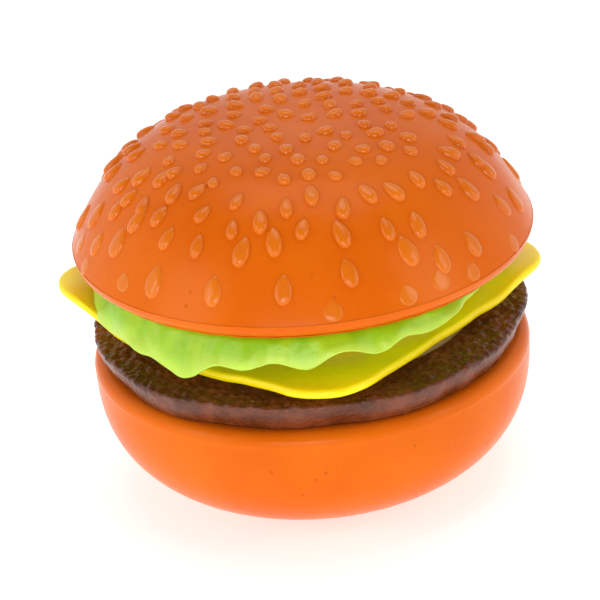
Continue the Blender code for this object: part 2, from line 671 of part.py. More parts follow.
def keypad_deck():
    middle = PATTY_LIP_RADIUS - GAP
    profile = [
        (0, DECK_TOP),
        (middle, DECK_TOP),
        (middle, DECK_RIM_TOP),
        (DECK_RADIUS, DECK_RIM_TOP),
        (DECK_RADIUS, DECK_RIM_BOTTOM),
        (middle - DECK_THICKNESS, DECK_RIM_BOTTOM),
        (middle - DECK_THICKNESS, DECK_BOTTOM),
        (0, DECK_BOTTOM),
    ]
    deck = turned("keypad_deck", profile, "cream_plastic")
    arm_low = DECK_RIM_BOTTOM + GAP
    start, end = middle - DECK_THICKNESS / 2, HINGE_Y - 1.5 * MM
    arm = block(
        "deck_arm",
        (MIDDLE_KNUCKLE, end - start, DECK_ARM_THICKNESS),
        (0, (start + end) / 2, arm_low + DECK_ARM_THICKNESS / 2),
    )
    join(deck, arm, knuckle("deck_knuckle", 0, MIDDLE_KNUCKLE))
    for i, (x, y) in enumerate(DECK_POSTS, 1):
        post_low = (x, y, DECK_BOTTOM - DECK_POST_LENGTH)
        join(deck, rod(f"deck_post_{i}", POST_RADIUS, post_low, (x, y, DECK_RIM_TOP - MM)))
        pilot_low = (x, y, DECK_BOTTOM - DECK_POST_LENGTH - MM)
        cut(deck, rod(f"deck_pilot_{i}", SCREW_RADIUS + GAP, pilot_low, (x, y, DECK_BOTTOM), steps=12))
    cut(deck, hinge_bore("deck_bore"), lead("deck_channel", base_lead_route(), LEAD_CHANNEL_RADIUS))
    opening = (KEY_SIZE[0] + 2 * KEY_CLEARANCE, KEY_SIZE[1] + 2 * KEY_CLEARANCE, 4 * DECK_THICKNESS)
    for name, x, y in key_places():
        cut(deck, block(f"{name}_hole", opening, (x, y, DECK_TOP)))
    cut(deck, rod("hook_hole", HOOK_RADIUS + GAP, (*HOOK_AT, 0), (*HOOK_AT, 0.1)))
    for i, x in enumerate((-1.4 * MM, 1.4 * MM), 1):
        cut(deck, rod(f"mouth_hole_{i}", 0.7 * MM, (x, MIC_Y, DECK_BOTTOM - MM), (x, MIC_Y, 0.1), steps=8))
    for i, (x, y) in enumerate(BOARD_STAKES, 1):
        low = BOARD_TOP - BOARD_THICKNESS - MM
        join(deck, rod(f"board_stake_{i}", STAKE_RADIUS, (x, y, low), (x, y, DECK_TOP - MM), steps=12))
    for i, (x, y) in enumerate(BUMPER_AT, 1):
        floor = (x, y, DECK_BOTTOM + MM)
        cut(deck, rod(f"bumper_hole_{i}", BUMPER_RADIUS + GAP, floor, (x, y, 0.1), steps=12))
    return deck


def key_places():
    """(name, x, y) of every key, with 1 at the left of the row nearest the hinge."""
    places = []
    for i, name in enumerate(KEY_NAMES):
        row, column = divmod(i, 3)
        places.append((f"key_{name}", (column - 1) * KEY_PITCH[0], KEY_FIRST_ROW - row * KEY_PITCH[1]))
    for name, x in zip(FUNCTION_KEYS, (-FUNCTION_KEY_X, FUNCTION_KEY_X)):
        places.append((f"key_{name}", x, FUNCTION_KEY_Y))
    return places


def keys():
    for name, x, y in key_places():
        height = KEY_TOP - KEY_BOTTOM
        cap = block(name, (*KEY_SIZE, height), (x, y, KEY_TOP - height / 2), "key_ivory", 0.7 * MM)
        width, depth = KEY_SIZE[0] + 2 * KEY_FLANGE, KEY_SIZE[1] + 2 * KEY_FLANGE
        at = (x, y, KEY_FLANGE_TOP - KEY_FLANGE_THICKNESS / 2)
        join(cap, block(f"{name}_flange", (width, depth, KEY_FLANGE_THICKNESS), at))


def keypad_mat():
    """One rubber sheet with a dome under every key."""
    low, high = FUNCTION_KEY_Y - KEY_SIZE[1] * 0.7, KEY_FIRST_ROW + KEY_SIZE[1] * 0.7
    width = 2 * KEY_PITCH[0] + KEY_SIZE[0] * 1.3
    centre = (0, (low + high) / 2, (MAT_BOTTOM + MAT_TOP) / 2)
    mat = block("keypad_mat", (width, high - low, MAT_THICKNESS), centre, "grey_rubber")
    for name, x, y in key_places():
        at, top = (x, y, MAT_TOP - MAT_THICKNESS / 2), (x, y, MAT_TOP + DOME_HEIGHT)
        join(mat, rod(f"{name}_dome", DOME_RADIUS, at, top, steps=10, end_radius=DOME_RADIUS * 0.7))
    notch = (HOOK_SWITCH_SIZE[0] + 2 * GAP, HOOK_SWITCH_SIZE[1] + 2 * GAP, 4 * MAT_THICKNESS)
    cut(mat, block("mat_notch", notch, (HOOK_AT[0] - MM, HOOK_AT[1] - MM, MAT_TOP)))
    return mat


def board():
    centre = (0, BOARD_CENTRE_Y, BOARD_TOP - BOARD_THICKNESS / 2)
    made = block("main_board", (*BOARD_SIZE, BOARD_THICKNESS), centre, "board_green")
    for i, (x, y) in enumerate(BOARD_STAKES, 1):
        cut(made, rod(f"stake_hole_{i}", STAKE_RADIUS + GAP, (x, y, 0), (x, y, HEEL_TOP), steps=12))
    return made


def microphone():
    top = DECK_BOTTOM - GAP
    low = top - MIC_HEIGHT
    rod("microphone", MIC_RADIUS, (0, MIC_Y, low), (0, MIC_Y, top), "steel", steps=20)
    inner, outer = MIC_RADIUS + GAP, MIC_RADIUS + GAP + MIC_BOOT_WALL
    floor = low - GAP
    under = floor - MIC_BOOT_WALL
    profile = [(0, floor), (inner, floor), (inner, top), (outer, top), (outer, under), (0, under)]
    turned("microphone_boot", profile, "black_rubber", steps=20, at=(0, MIC_Y, 0))


def hook_switch():
    x, y = HOOK_AT
    body_top = BOARD_TOP + GAP + HOOK_SWITCH_SIZE[2]
    centre = (x - 1 * MM, y - 1 * MM, (BOARD_TOP + GAP + body_top) / 2)
    block("hook_switch", HOOK_SWITCH_SIZE, centre, "black_plastic", 0.4 * MM)
    flange_low = body_top + GAP
    top = DECK_TOP + HOOK_ABOVE_DECK
    plunger = rod("hook_plunger", HOOK_RADIUS, (x, y, flange_low), (x, y, top), "key_ivory")
    flange_top = (x, y, flange_low + 1.2 * MM)
    join(plunger, rod("hook_flange", HOOK_RADIUS + 1.4 * MM, (x, y, flange_low), flange_top))
    return plunger


def line_jack():
    face = HEEL_RADIUS - JACK_INSET
    centre = (0, face - JACK_SIZE[1] / 2, JACK_Z)
    jack = block("line_jack", JACK_SIZE, centre, "black_plastic")
    width, depth, height = JACK_MOUTH
    mouth_z = JACK_Z + JACK_LATCH[1] / 2
    mouth = block("jack_mouth", (width, 2 * depth, height), (0, face, mouth_z))
    latch_size = (JACK_LATCH[0], 2 * depth - 3 * MM, 2 * JACK_LATCH[1])
    cut(jack, mouth, block("jack_latch", latch_size, (0, face, mouth_z - height / 2)))
    return jack


def slide_switch(name, degrees):
    wall = heel_radius(SWITCH_Z)
    inner_wall = wall - HEEL_WALL
    body_face = inner_wall - 2.2 * MM
    body = (body_face - SWITCH_BODY[0] / 2, 0, SWITCH_Z)
    turned_out(block(f"{name}_switch_body", SWITCH_BODY, body, "black_plastic"), degrees)
    head_low = wall + 0.5 * MM
    head_at = (head_low + SWITCH_KNOB[0] / 2, 0, SWITCH_Z)
    head = block(f"{name}_switch_knob", SWITCH_KNOB, head_at, "black_plastic", 0.4 * MM)
    reach = head_low + SWITCH_KNOB[0] / 2 - body_face - GAP
    stem_at = (head_low + SWITCH_KNOB[0] / 2 - reach / 2, 0, SWITCH_Z)
    stem = block(f"{name}_switch_stem", (reach, *SWITCH_STEM), stem_at)
    turned_out(head, degrees)
    turned_out(stem, degrees)
    join(head, stem)


def ringer():
    low = HEEL_BOTTOM + HEEL_WALL + GAP + BALLAST_THICKNESS + GAP
    high = low + RINGER_THICKNESS
    return rod("ringer", RINGER_RADIUS, (*RINGER_AT, low), (*RINGER_AT, high), "black_plastic", steps=20)


def ballast_and_pad():
    low = HEEL_BOTTOM + HEEL_WALL + GAP
    rod("ballast_plate", BALLAST_RADIUS, (0, 0, low), (0, 0, low + BALLAST_THICKNESS), "steel", steps=32)
    rod("base_pad", PAD_RADIUS, (0, 0, 0), (0, 0, PAD_THICKNESS), "black_rubber", steps=32)


def earpiece_panel():
    profile = [
        (0, PANEL_TOP),
        (PANEL_RADIUS - 3 * MM, PANEL_TOP),
        (PANEL_RADIUS - 3 * MM, FLANGE_TOP),
        (PANEL_FLANGE_RADIUS, FLANGE_TOP),
        (PANEL_FLANGE_RADIUS, FLANGE_BOTTOM),
        (PANEL_RADIUS, FLANGE_BOTTOM),
        (PANEL_RADIUS, PANEL_BOTTOM),
        (0, PANEL_BOTTOM),
    ]
    panel = turned("earpiece_panel", profile, "cream_plastic")
    start, end = PANEL_RADIUS - 8 * MM, HINGE_Y - MM
    for side, name in ((-1, "left"), (1, "right")):
        x = side * SIDE_KNUCKLE_X
        centre = (x, (start + end) / 2, PANEL_BOTTOM + PANEL_ARM_THICKNESS / 2)
        arm = block(f"panel_arm_{name}", (SIDE_KNUCKLE, end - start, PANEL_ARM_THICKNESS), centre)
        join(panel, arm, knuckle(f"panel_knuckle_{name}", x, SIDE_KNUCKLE))
    for side, name in ((-1, "left"), (1, "right")):
        at = (side * CLAMP_EAR_X, SPEAKER_Y)
        top = PANEL_TOP + GAP + GASKET_THICKNESS + GAP + SPEAKER_FRAME
        join(panel, rod(f"clamp_post_{name}", 2.8 * MM, (*at, PANEL_TOP - MM), (*at, top), steps=12))
        pilot = rod(f"clamp_pilot_{name}", SCREW_RADIUS + GAP, (*at, PANEL_TOP), (*at, top + MM), steps=12)
        cut(panel, pilot)
    hook_low = DECK_TOP + HOOK_ABOVE_DECK + GAP
    hook_high = (*HOOK_AT, PANEL_TOP - MM)
    join(panel, rod("hook_post", HOOK_RADIUS + 0.4 * MM, (*HOOK_AT, hook_low), hook_high, steps=12))
    cut(panel, hinge_bore("panel_bore"), lead("panel_channel", lid_lead_route(), LEAD_CHANNEL_RADIUS))
    for i, (x, y) in enumerate(LID_POSTS, 1):
        sink = (x, y, PANEL_BOTTOM + SCREW_HEAD_HEIGHT * 0.6)
        cut(
            panel,
            rod(f"panel_hole_{i}", SCREW_RADIUS + GAP, (x, y, 0), (x, y, PANEL_TOP + MM), steps=12),
            rod(f"panel_sink_{i}", SCREW_HEAD_RADIUS + GAP, (x, y, PANEL_BOTTOM - MM), sink, steps=12),
        )
    holes = [(0.0, 0.0)] + [(6 * MM, k * math.pi / 3) for k in range(6)]
    for i, (r, a) in enumerate(holes, 1):
        x, y = r * math.cos(a), SPEAKER_Y + r * math.sin(a)
        cut(panel, rod(f"ear_hole_{i}", 1.3 * MM, (x, y, PANEL_BOTTOM - MM), (x, y, PANEL_TOP + MM), steps=8))
    return panel


def earpiece():
    at = (0, SPEAKER_Y, 0)
    low = PANEL_TOP + GAP
    gasket = [(GASKET_INNER_RADIUS, low + GASKET_THICKNESS), (SPEAKER_RADIUS, low + GASKET_THICKNESS)]
    gasket += [(SPEAKER_RADIUS, low), (GASKET_INNER_RADIUS, low)]
    turned("earpiece_gasket", gasket, "grey_rubber", ring=True, steps=24, at=at)
    frame_low = low + GASKET_THICKNESS + GAP
    frame_top = frame_low + SPEAKER_FRAME
    magnet_top = frame_low + SPEAKER_HEIGHT
    profile = [
        (0, magnet_top),
        (SPEAKER_MAGNET_RADIUS, magnet_top),
        (SPEAKER_MAGNET_RADIUS, frame_top),
        (SPEAKER_RADIUS, frame_top),
        (SPEAKER_RADIUS, frame_low),
        (0, frame_low),
    ]
    turned("earpiece_speaker", profile, "steel", steps=24, at=at)
    clamp_low = frame_top + GAP
    clamp_top = clamp_low + CLAMP_THICKNESS
    inner = SPEAKER_MAGNET_RADIUS + 0.8 * MM
    ring = [(inner, clamp_top), (SPEAKER_RADIUS, clamp_top), (SPEAKER_RADIUS, clamp_low), (inner, clamp_low)]
    clamp = turned("earpiece_clamp", ring, "black_plastic", ring=True, steps=24, at=at)
    for side, name in ((-1, "left"), (1, "right")):
        near, far = SPEAKER_RADIUS - 2 * MM, CLAMP_EAR_X + 3.4 * MM
        centre = (side * (near + far) / 2, SPEAKER_Y, clamp_low + CLAMP_THICKNESS / 2)
        join(clamp, block(f"clamp_ear_{name}", (far - near, 6.8 * MM, CLAMP_THICKNESS), centre))
        hole = (side * CLAMP_EAR_X, SPEAKER_Y)
        cut(clamp, rod(f"clamp_hole_{name}", SCREW_RADIUS + GAP, (*hole, 0), (*hole, 0.1), steps=12))
        screw(f"clamp_screw_{name}", (*hole, clamp_top + GAP), -CLAMP_SCREW_LENGTH)


def screw(name, seat, length):
    """A pan-head screw whose head starts at seat, with its shank along Z by length, up or down."""
    x, y, z = seat
    way = 1 if length > 0 else -1
    head = rod(name, SCREW_HEAD_RADIUS, (x, y, z), (x, y, z - way * SCREW_HEAD_HEIGHT), "steel", steps=12)
    shank = rod(f"{name}_shank", SCREW_RADIUS, (x, y, z - way * 0.5 * MM), (x, y, z + length), steps=12)
    join(head, shank)


def screws():
    for i, (x, y) in enumerate(DECK_POSTS, 1):
        screw(f"base_screw_{i}", (x, y, SCREW_SEAT - GAP), SCREW_LENGTH)
    for i, (x, y) in enumerate(LID_POSTS, 1):
        screw(f"lid_screw_{i}", (x, y, PANEL_BOTTOM + SCREW_HEAD_HEIGHT * 0.6 - GAP), LID_SCREW_LENGTH)


def hinge_pins():
    half = HINGE_PIN_LENGTH / 2
    low, high = (PIN_X - half, HINGE_Y, HINGE_Z), (PIN_X + half, HINGE_Y, HINGE_Z)
    rod("hinge_pin", HINGE_PIN_RADIUS, low, high, "steel")
    low, high = (-PIN_X - half, HINGE_Y, HINGE_Z), (-PIN_X + half, HINGE_Y, HINGE_Z)
    tube = rod("hinge_tube", HINGE_PIN_RADIUS, low, high, "brass")
    outside = (HINGE_PIN_LENGTH, 0, 0)
    cut(tube, rod("tube_bore", HINGE_TUBE_BORE, Vector(low) - Vector(outside), Vector(high) + Vector(outside)))


def bumpers():
    top = PANEL_BOTTOM - GAP
    for i, (x, y) in enumerate(BUMPER_AT, 1):
        low = DECK_BOTTOM + MM + GAP
        tip = BUMPER_RADIUS * 0.85
        rod(f"lid_bumper_{i}", BUMPER_RADIUS, (x, y, low), (x, y, top), "grey_rubber", 12, tip)


def hang_lid():
    """Parents the lid's pieces to an empty on the hinge's axis. It opens by turning about -X."""
    axis = bpy.data.objects.new("lid_hinge_axis", None)
    axis.empty_display_size = HINGE_Y / 4
    axis.location = (0, HINGE_Y, HINGE_Z)
    bpy.data.collections["hamburger_telephone"].objects.link(axis)
    for name in LID_PIECES:
        carry(bpy.data.objects[name], axis)


def build():
    start_scene()
    bottom_bun_shell()
    ballast_and_pad()
    patty()
    keypad_deck()
    keys()
    keypad_mat()
    board()
    microphone()
    hook_switch()
    line_jack()
    ringer()
    for name, degrees in SWITCH_AZIMUTHS.items():
        slide_switch(name, degrees)
    bumpers()
    top_bun_shell()
    lettuce()
    cheese()
    collar()
    earpiece_panel()
    earpiece()
    screws()
    hinge_pins()
    lead("earpiece_lead_base", base_lead_route(), LEAD_RADIUS, "lead_red")
    lead("earpiece_lead_lid", lid_lead_route(), LEAD_RADIUS, "lead_red")
    hang_lid()


build()
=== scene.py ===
# %% [markdown]
# # A hamburger telephone
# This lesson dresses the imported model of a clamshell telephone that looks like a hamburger.
# The model already holds the exact solids, the bodies and the joints. It is loaded first and is never
# moved or reshaped, so every place below is measured from it.

# %% Load the model
import math

import bmesh
import bpy
import numpy as np
from mathutils import Matrix, Vector, noise


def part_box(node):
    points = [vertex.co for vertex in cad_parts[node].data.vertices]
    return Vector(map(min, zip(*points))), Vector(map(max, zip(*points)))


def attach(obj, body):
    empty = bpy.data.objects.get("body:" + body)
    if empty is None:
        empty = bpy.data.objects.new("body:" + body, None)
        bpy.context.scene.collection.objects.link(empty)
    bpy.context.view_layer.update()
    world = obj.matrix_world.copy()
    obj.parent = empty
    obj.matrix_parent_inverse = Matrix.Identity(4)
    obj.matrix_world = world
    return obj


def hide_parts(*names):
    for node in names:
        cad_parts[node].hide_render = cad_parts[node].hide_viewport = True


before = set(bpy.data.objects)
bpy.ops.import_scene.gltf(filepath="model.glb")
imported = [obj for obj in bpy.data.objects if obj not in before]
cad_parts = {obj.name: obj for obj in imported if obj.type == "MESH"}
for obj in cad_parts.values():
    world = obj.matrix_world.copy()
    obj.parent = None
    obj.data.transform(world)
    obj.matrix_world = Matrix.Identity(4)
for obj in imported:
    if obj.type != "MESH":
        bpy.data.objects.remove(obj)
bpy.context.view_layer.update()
MM = 0.001

# %% [markdown]
# ## Writing shader maths as expressions
# A material's pattern is a small formula. Wiring one Math node for each sign by hand hides the formula,
# so this class wraps a socket and lets Python's own signs add the nodes. One method makes any other node.


# %% A socket that can be added and multiplied
class Wire:
    """A node's output, or a number, in a material's node tree."""

    def __init__(self, tree, value):
        self.tree = tree
        self.value = value

    def math(self, operation, *others):
        inputs = {0: self, **dict(enumerate(others, 1))}
        return node(self.tree, "ShaderNodeMath", {"operation": operation}, inputs)

    def __add__(self, other):
        return self.math("ADD", other)

    __radd__ = __add__

    def __mul__(self, other):
        return self.math("MULTIPLY", other)

    __rmul__ = __mul__

    def __sub__(self, other):
        return self.math("SUBTRACT", other)

    def __rsub__(self, other):
        return Wire(self.tree, other).math("SUBTRACT", self)

    def ramp(self, low, high):
        """0 below low, 1 above high, and a smooth rise between them."""
        settings = {"interpolation_type": "SMOOTHSTEP"}
        inputs = {"Value": self, "From Min": low, "From Max": high}
        return node(self.tree, "ShaderNodeMapRange", settings, inputs)


def node(tree, kind, settings=None, inputs=None, output=0):
    """Adds a node, sets its options, then fills or links its sockets, and gives one output back."""
    made = tree.nodes.new(kind)
    for name, value in (settings or {}).items():
        setattr(made, name, value)
    for name, value in (inputs or {}).items():
        value = value.value if isinstance(value, Wire) else value
        if isinstance(value, bpy.types.NodeSocket):
            tree.links.new(value, made.inputs[name])
        else:
            made.inputs[name].default_value = value
    return Wire(tree, made.outputs[output])


def place_on_piece(tree):
    """Object coordinates: the pattern stays on the piece when the lid opens."""
    return node(tree, "ShaderNodeTexCoord", output="Object")


def cloudy(tree, size, detail=3.0, rough=0.55):
    """Soft noise whose blobs are about size metres across."""
    inputs = {"Vector": place_on_piece(tree), "Scale": 1 / size, "Detail": detail, "Roughness": rough}
    return node(tree, "ShaderNodeTexNoise", {"noise_dimensions": "3D"}, inputs)


def mixed(tree, factor, first, second):
    """One colour turning into another as factor goes from 0 to 1."""
    made = tree.nodes.new("ShaderNodeMix")
    made.data_type = "RGBA"
    for index, value in ((0, factor), (6, first), (7, second)):
        value = value.value if isinstance(value, Wire) else value
        if isinstance(value, bpy.types.NodeSocket):
            tree.links.new(value, made.inputs[index])
        else:
            made.inputs[index].default_value = value if isinstance(value, float) else (*value, 1)
    return Wire(tree, made.outputs[2])


def bump(tree, height, depth, under=None):
    inputs = {"Height": height, "Distance": depth, "Strength": 1.0}
    if under:
        inputs["Normal"] = under
    return node(tree, "ShaderNodeBump", None, inputs)


def new_finish(name):
    made = bpy.data.materials.new(name)
    made.use_nodes = True
    return made, made.node_tree, made.node_tree.nodes["Principled BSDF"]


def feed(shader, **sockets):
    """Sets or links the shader's sockets, named with _ for a space."""
    for name, value in sockets.items():
        socket = shader.inputs[name.replace("_", " ")]
        value = value.value if isinstance(value, Wire) else value
        if isinstance(value, bpy.types.NodeSocket):
            shader.id_data.links.new(value, socket)
        elif isinstance(value, tuple) and len(value) == 3 and socket.type == "RGBA":
            socket.default_value = (*value, 1)
        else:
            socket.default_value = value


print("shader maths ready")

# %% [markdown]
# ## Moulded plastic
# The buns are injection-moulded in coloured plastic. Such a part is glossy but never perfect: its colour
# drifts a little with the flow, the gloss is duller in patches, it carries a very fine orange peel, and a
# few specks and pits. One function makes that finish, and every plastic piece passes its own numbers.


# %% Moulded plastic finishes
PEEL = 0.08 * MM
GRAIN_SIZE = 0.6 * MM


def moulded(name, colour, deep, gloss=0.26, soft=0.0, specks=0.0, grain=0.0, shine=0.4):
    """colour drifts towards deep. gloss is the roughness, soft the light let in, grain a texture's depth."""
    made, tree, shader = new_finish(name)
    drift = cloudy(tree, 0.03, 2.0).ramp(0.35, 0.68)
    tint = mixed(tree, drift, deep, colour)
    patches = cloudy(tree, 0.012, 4.0)
    rough = patches * 0.12 + (gloss - 0.06)
    surface = bump(tree, cloudy(tree, 0.0022, 2.0), PEEL)
    if specks:
        inputs = {"Vector": place_on_piece(tree), "Scale": 130.0}
        cell = node(tree, "ShaderNodeTexVoronoi", {"feature": "F1"}, inputs)
        pit = 1 - cell.ramp(0.035, 0.075)
        tint = mixed(tree, pit * specks, tint, tuple(c * 0.35 for c in deep))
        surface = bump(tree, cell.ramp(0.03, 0.09), 0.00012, surface)
    if grain:
        surface = bump(tree, cloudy(tree, GRAIN_SIZE, 2.0), grain, surface)
    feed(shader, Base_Color=tint, Roughness=rough, Normal=surface)
    feed(shader, IOR=1.5, Specular_IOR_Level=shine)
    feed(shader, Subsurface_Weight=soft, Subsurface_Radius=(0.003, 0.0008, 0.0003), Subsurface_Scale=1.0)
    return made


TOP_ORANGES = (0.74, 0.142, 0.004), (0.69, 0.120, 0.002)
BASE_ORANGES = (0.78, 0.150, 0.004), (0.72, 0.128, 0.002)
ORANGE_TOP = moulded("crown orange", *TOP_ORANGES, 0.25, soft=0.04, specks=0.3, shine=0.10)
ORANGE_SEED = moulded("seed amber", (0.76, 0.175, 0.005), (0.70, 0.148, 0.003), 0.20, soft=0.04, shine=0.32)
ORANGE_BASE = moulded("heel orange", *BASE_ORANGES, 0.25, soft=0.04, specks=0.35, shine=0.10)
CREAM = moulded("cream plastic", (0.74, 0.62, 0.44), (0.68, 0.56, 0.38), 0.42, grain=0.00006)
IVORY = moulded("key ivory", (0.86, 0.83, 0.75), (0.80, 0.77, 0.68), 0.36, grain=0.00002)
BLACK = moulded("black plastic", (0.018, 0.018, 0.019), (0.012, 0.012, 0.013), 0.36, grain=0.00005)
RUBBER_GREY = moulded("grey rubber", (0.22, 0.22, 0.22), (0.18, 0.18, 0.18), 0.75, grain=0.00008)
RUBBER_BLACK = moulded("black rubber", (0.022, 0.022, 0.022), (0.015, 0.015, 0.015), 0.78, grain=0.00012)
INK = moulded("legend ink", (0.03, 0.03, 0.035), (0.02, 0.02, 0.02), 0.5)
BOARD = moulded("board green", (0.02, 0.15, 0.05), (0.015, 0.10, 0.035), 0.4)
LEAD_RED = moulded("lead red", (0.45, 0.02, 0.02), (0.38, 0.015, 0.015), 0.45)
print(len(bpy.data.materials), "finishes")

# %% [markdown]
# The metal pieces are zinc plate and brass. Their finish needs the metallic socket at 1 and fine brushed
# noise in the roughness, because a metal with one even roughness looks like grey plastic.


# %% Metals
def plated(name, colour, gloss):
    made, tree, shader = new_finish(name)
    streaks = cloudy(tree, 0.0009, 5.0, 0.7)
    feed(shader, Base_Color=colour, Metallic=1.0, Roughness=streaks * 0.3 + gloss)
    feed(shader, Normal=bump(tree, streaks, 0.00001))
    return made


STEEL = plated("zinc plate", (0.60, 0.60, 0.61), 0.16)
BRASS = plated("turned brass", (0.70, 0.50, 0.22), 0.14)

# %% [markdown]
# ## Meshes from grids
# The food-shaped pieces are free forms, so each is a grid of points: one way round the burger, the other
# way across the piece. numpy makes the points, and this helper turns a grid into a mesh.


# %% Grid helper
def piece_from_grid(name, points, finish, wrap_round=True, wrap_across=False, smooth=True):
    """points is an array of shape (round, across, 3)."""
    count, across = points.shape[:2]
    faces = []
    for i in range(count if wrap_round else count - 1):
        j = (i + 1) % count
        for a in range(across if wrap_across else across - 1):
            b = (a + 1) % across
            faces.append((i * across + a, j * across + a, j * across + b, i * across + b))
    mesh = bpy.data.meshes.new(name)
    mesh.from_pydata(points.reshape(-1, 3).tolist(), [], faces)
    shape = bmesh.new()
    shape.from_mesh(mesh)
    bmesh.ops.remove_doubles(shape, verts=shape.verts, dist=1e-6)
    bmesh.ops.recalc_face_normals(shape, faces=shape.faces)
    shape.to_mesh(mesh)
    shape.free()
    if smooth:
        mesh.shade_smooth()
    mesh.materials.append(finish)
    obj = bpy.data.objects.new(name, mesh)
    bpy.context.scene.collection.objects.link(obj)
    return obj


def turned_grid(profile, steps):
    """The grid of points that a (radius, height) profile sweeps when it turns round the Z axis."""
    profile = np.array(profile)
    angle = np.linspace(0, 2 * math.pi, steps, endpoint=False)[:, None]
    r, z = profile[:, 0][None, :], profile[:, 1][None, :]
    return np.stack([r * np.cos(angle), r * np.sin(angle), np.broadcast_to(z, (steps, len(profile)))], axis=2)


def settled(obj):
    """Applies the modifiers: the object's mesh becomes what they make of it."""
    graph = bpy.context.evaluated_depsgraph_get()
    mesh = bpy.data.meshes.new_from_object(obj.evaluated_get(graph))
    obj.modifiers.clear()
    obj.data = mesh
    return obj


def cut_with(obj, cutters):
    """Cuts the meshes of some helper objects out of a piece, then removes them."""
    for cutter in cutters:
        modifier = obj.modifiers.new("cut", "BOOLEAN")
        modifier.solver = "EXACT"
        modifier.object = cutter
    bpy.context.view_layer.update()
    settled(obj)
    for cutter in cutters:
        bpy.data.objects.remove(cutter)
    return obj


def helper_block(size, centre, degrees=0.0):
    shape = bmesh.new()
    bmesh.ops.create_cube(shape, size=1)
    turn = Matrix.Rotation(math.radians(degrees), 4, "Z")
    shape.transform(turn @ Matrix.Translation(centre) @ Matrix.Diagonal((*size, 1)))
    return helper_object(shape)


def helper_rod(radius, x, y, low, high, steps=48):
    shape = bmesh.new()
    ends = {"radius1": radius, "radius2": radius, "depth": high - low}
    bmesh.ops.create_cone(shape, cap_ends=True, segments=steps, **ends)
    shape.transform(Matrix.Translation((x, y, (low + high) / 2)))
    return helper_object(shape)


def helper_object(shape):
    mesh = bpy.data.meshes.new("helper")
    shape.to_mesh(mesh)
    shape.free()
    obj = bpy.data.objects.new("helper", mesh)
    bpy.context.scene.collection.objects.link(obj)
    return obj


# %% [markdown]
# ## The top bun
# The real bun is one thin shell. Its dome is flat on top and steeper at the side, and a short rim curls in
# below the widest line. A curve of that shape, as wide as the model's shell, is sampled finely here and
# turned round the axis.

# %% Top bun shell
crown_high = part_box("top_bun_shell")[1]
CROWN_RADIUS = crown_high[0]
CROWN_RISE = 31.5 * MM
SEAM = crown_high[2] - CROWN_RISE
CROWN_WALL = 2.4 * MM
RIM_DROP, RIM_TUCK = 4.2 * MM, 2.4 * MM
RIM = SEAM - RIM_DROP


def crown_height(r):
    share = np.clip(r / CROWN_RADIUS, 0, 1)
    return SEAM + CROWN_RISE * (1 - share**4.0) ** (1 / 1.05)


def parting_line(radius, height):
    """Points down a wall that carries the fine ridge where the two halves of the mould met."""
    return [
        (radius, height + 0.25 * MM),
        (radius + 0.05 * MM, height + 0.08 * MM),
        (radius + 0.05 * MM, height - 0.08 * MM),
        (radius, height - 0.25 * MM),
    ]


outer_r = CROWN_RADIUS * np.sin(np.linspace(0, math.pi / 2, 64)) ** 0.9
outside = [(r, crown_height(r)) for r in outer_r[:-1]]
outside += parting_line(CROWN_RADIUS, SEAM)
for a in np.linspace(0.2, math.pi / 2, 9):
    tuck = RIM_TUCK * (1 - math.cos(a))
    outside.append((CROWN_RADIUS - tuck, SEAM - (RIM_DROP - 1.1 * MM) * math.sin(a)))
rim_r = CROWN_RADIUS - RIM_TUCK
rim = [
    (rim_r - 0.35 * MM, RIM + 0.3 * MM),
    (rim_r - 1.0 * MM, RIM),
    (rim_r - 1.7 * MM, RIM),
    (rim_r - 2.3 * MM, RIM + 0.5 * MM),
]
inside = [(max(r - CROWN_WALL, 0.0), z - 0.6 * CROWN_WALL) for r, z in reversed(outside[4:63])]
profile = outside + rim + inside + [(0.0, outside[0][1] - CROWN_WALL)]
top_bun = piece_from_grid("top_bun", turned_grid(profile, 256), ORANGE_TOP)
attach(top_bun, "lid")
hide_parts("top_bun_shell")
print("top bun", len(top_bun.data.polygons), "faces, seam at", round(SEAM / MM, 1), "mm")

# %% Posts inside the crown
for number in range(1, 4):
    low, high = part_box(f"lid_screw_{number}")
    x, y = (low[0] + high[0]) / 2, (low[1] + high[1]) / 2
    roof = crown_height(math.hypot(x, y) + 3.6 * MM) - 0.5 * CROWN_WALL
    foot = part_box("top_bun_shell")[0][2]
    tube = [(1.55 * MM, roof), (1.55 * MM, foot + 0.2 * MM), (1.75 * MM, foot)]
    tube += [(3.3 * MM, foot), (3.6 * MM, foot + 0.3 * MM), (3.6 * MM, roof)]
    grid = turned_grid(tube, 40) + np.array([x, y, 0.0])
    post = piece_from_grid(f"crown_post_{number}", grid, ORANGE_TOP, wrap_across=True)
    post.data.set_sharp_from_angle(angle=math.radians(40))
    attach(post, "lid")

# %% [markdown]
# ## Sesame seeds
# The seeds are bumps of the same plastic: small, round and close together on the crown, longer and further
# apart down the side, where the pointed end is up, and nearly flush above the rim. That is a rule, so
# Geometry Nodes scatter them: each zone picks its band of the dome, keeps a least distance between seeds,
# stands each seed on the surface and turns its point uphill.


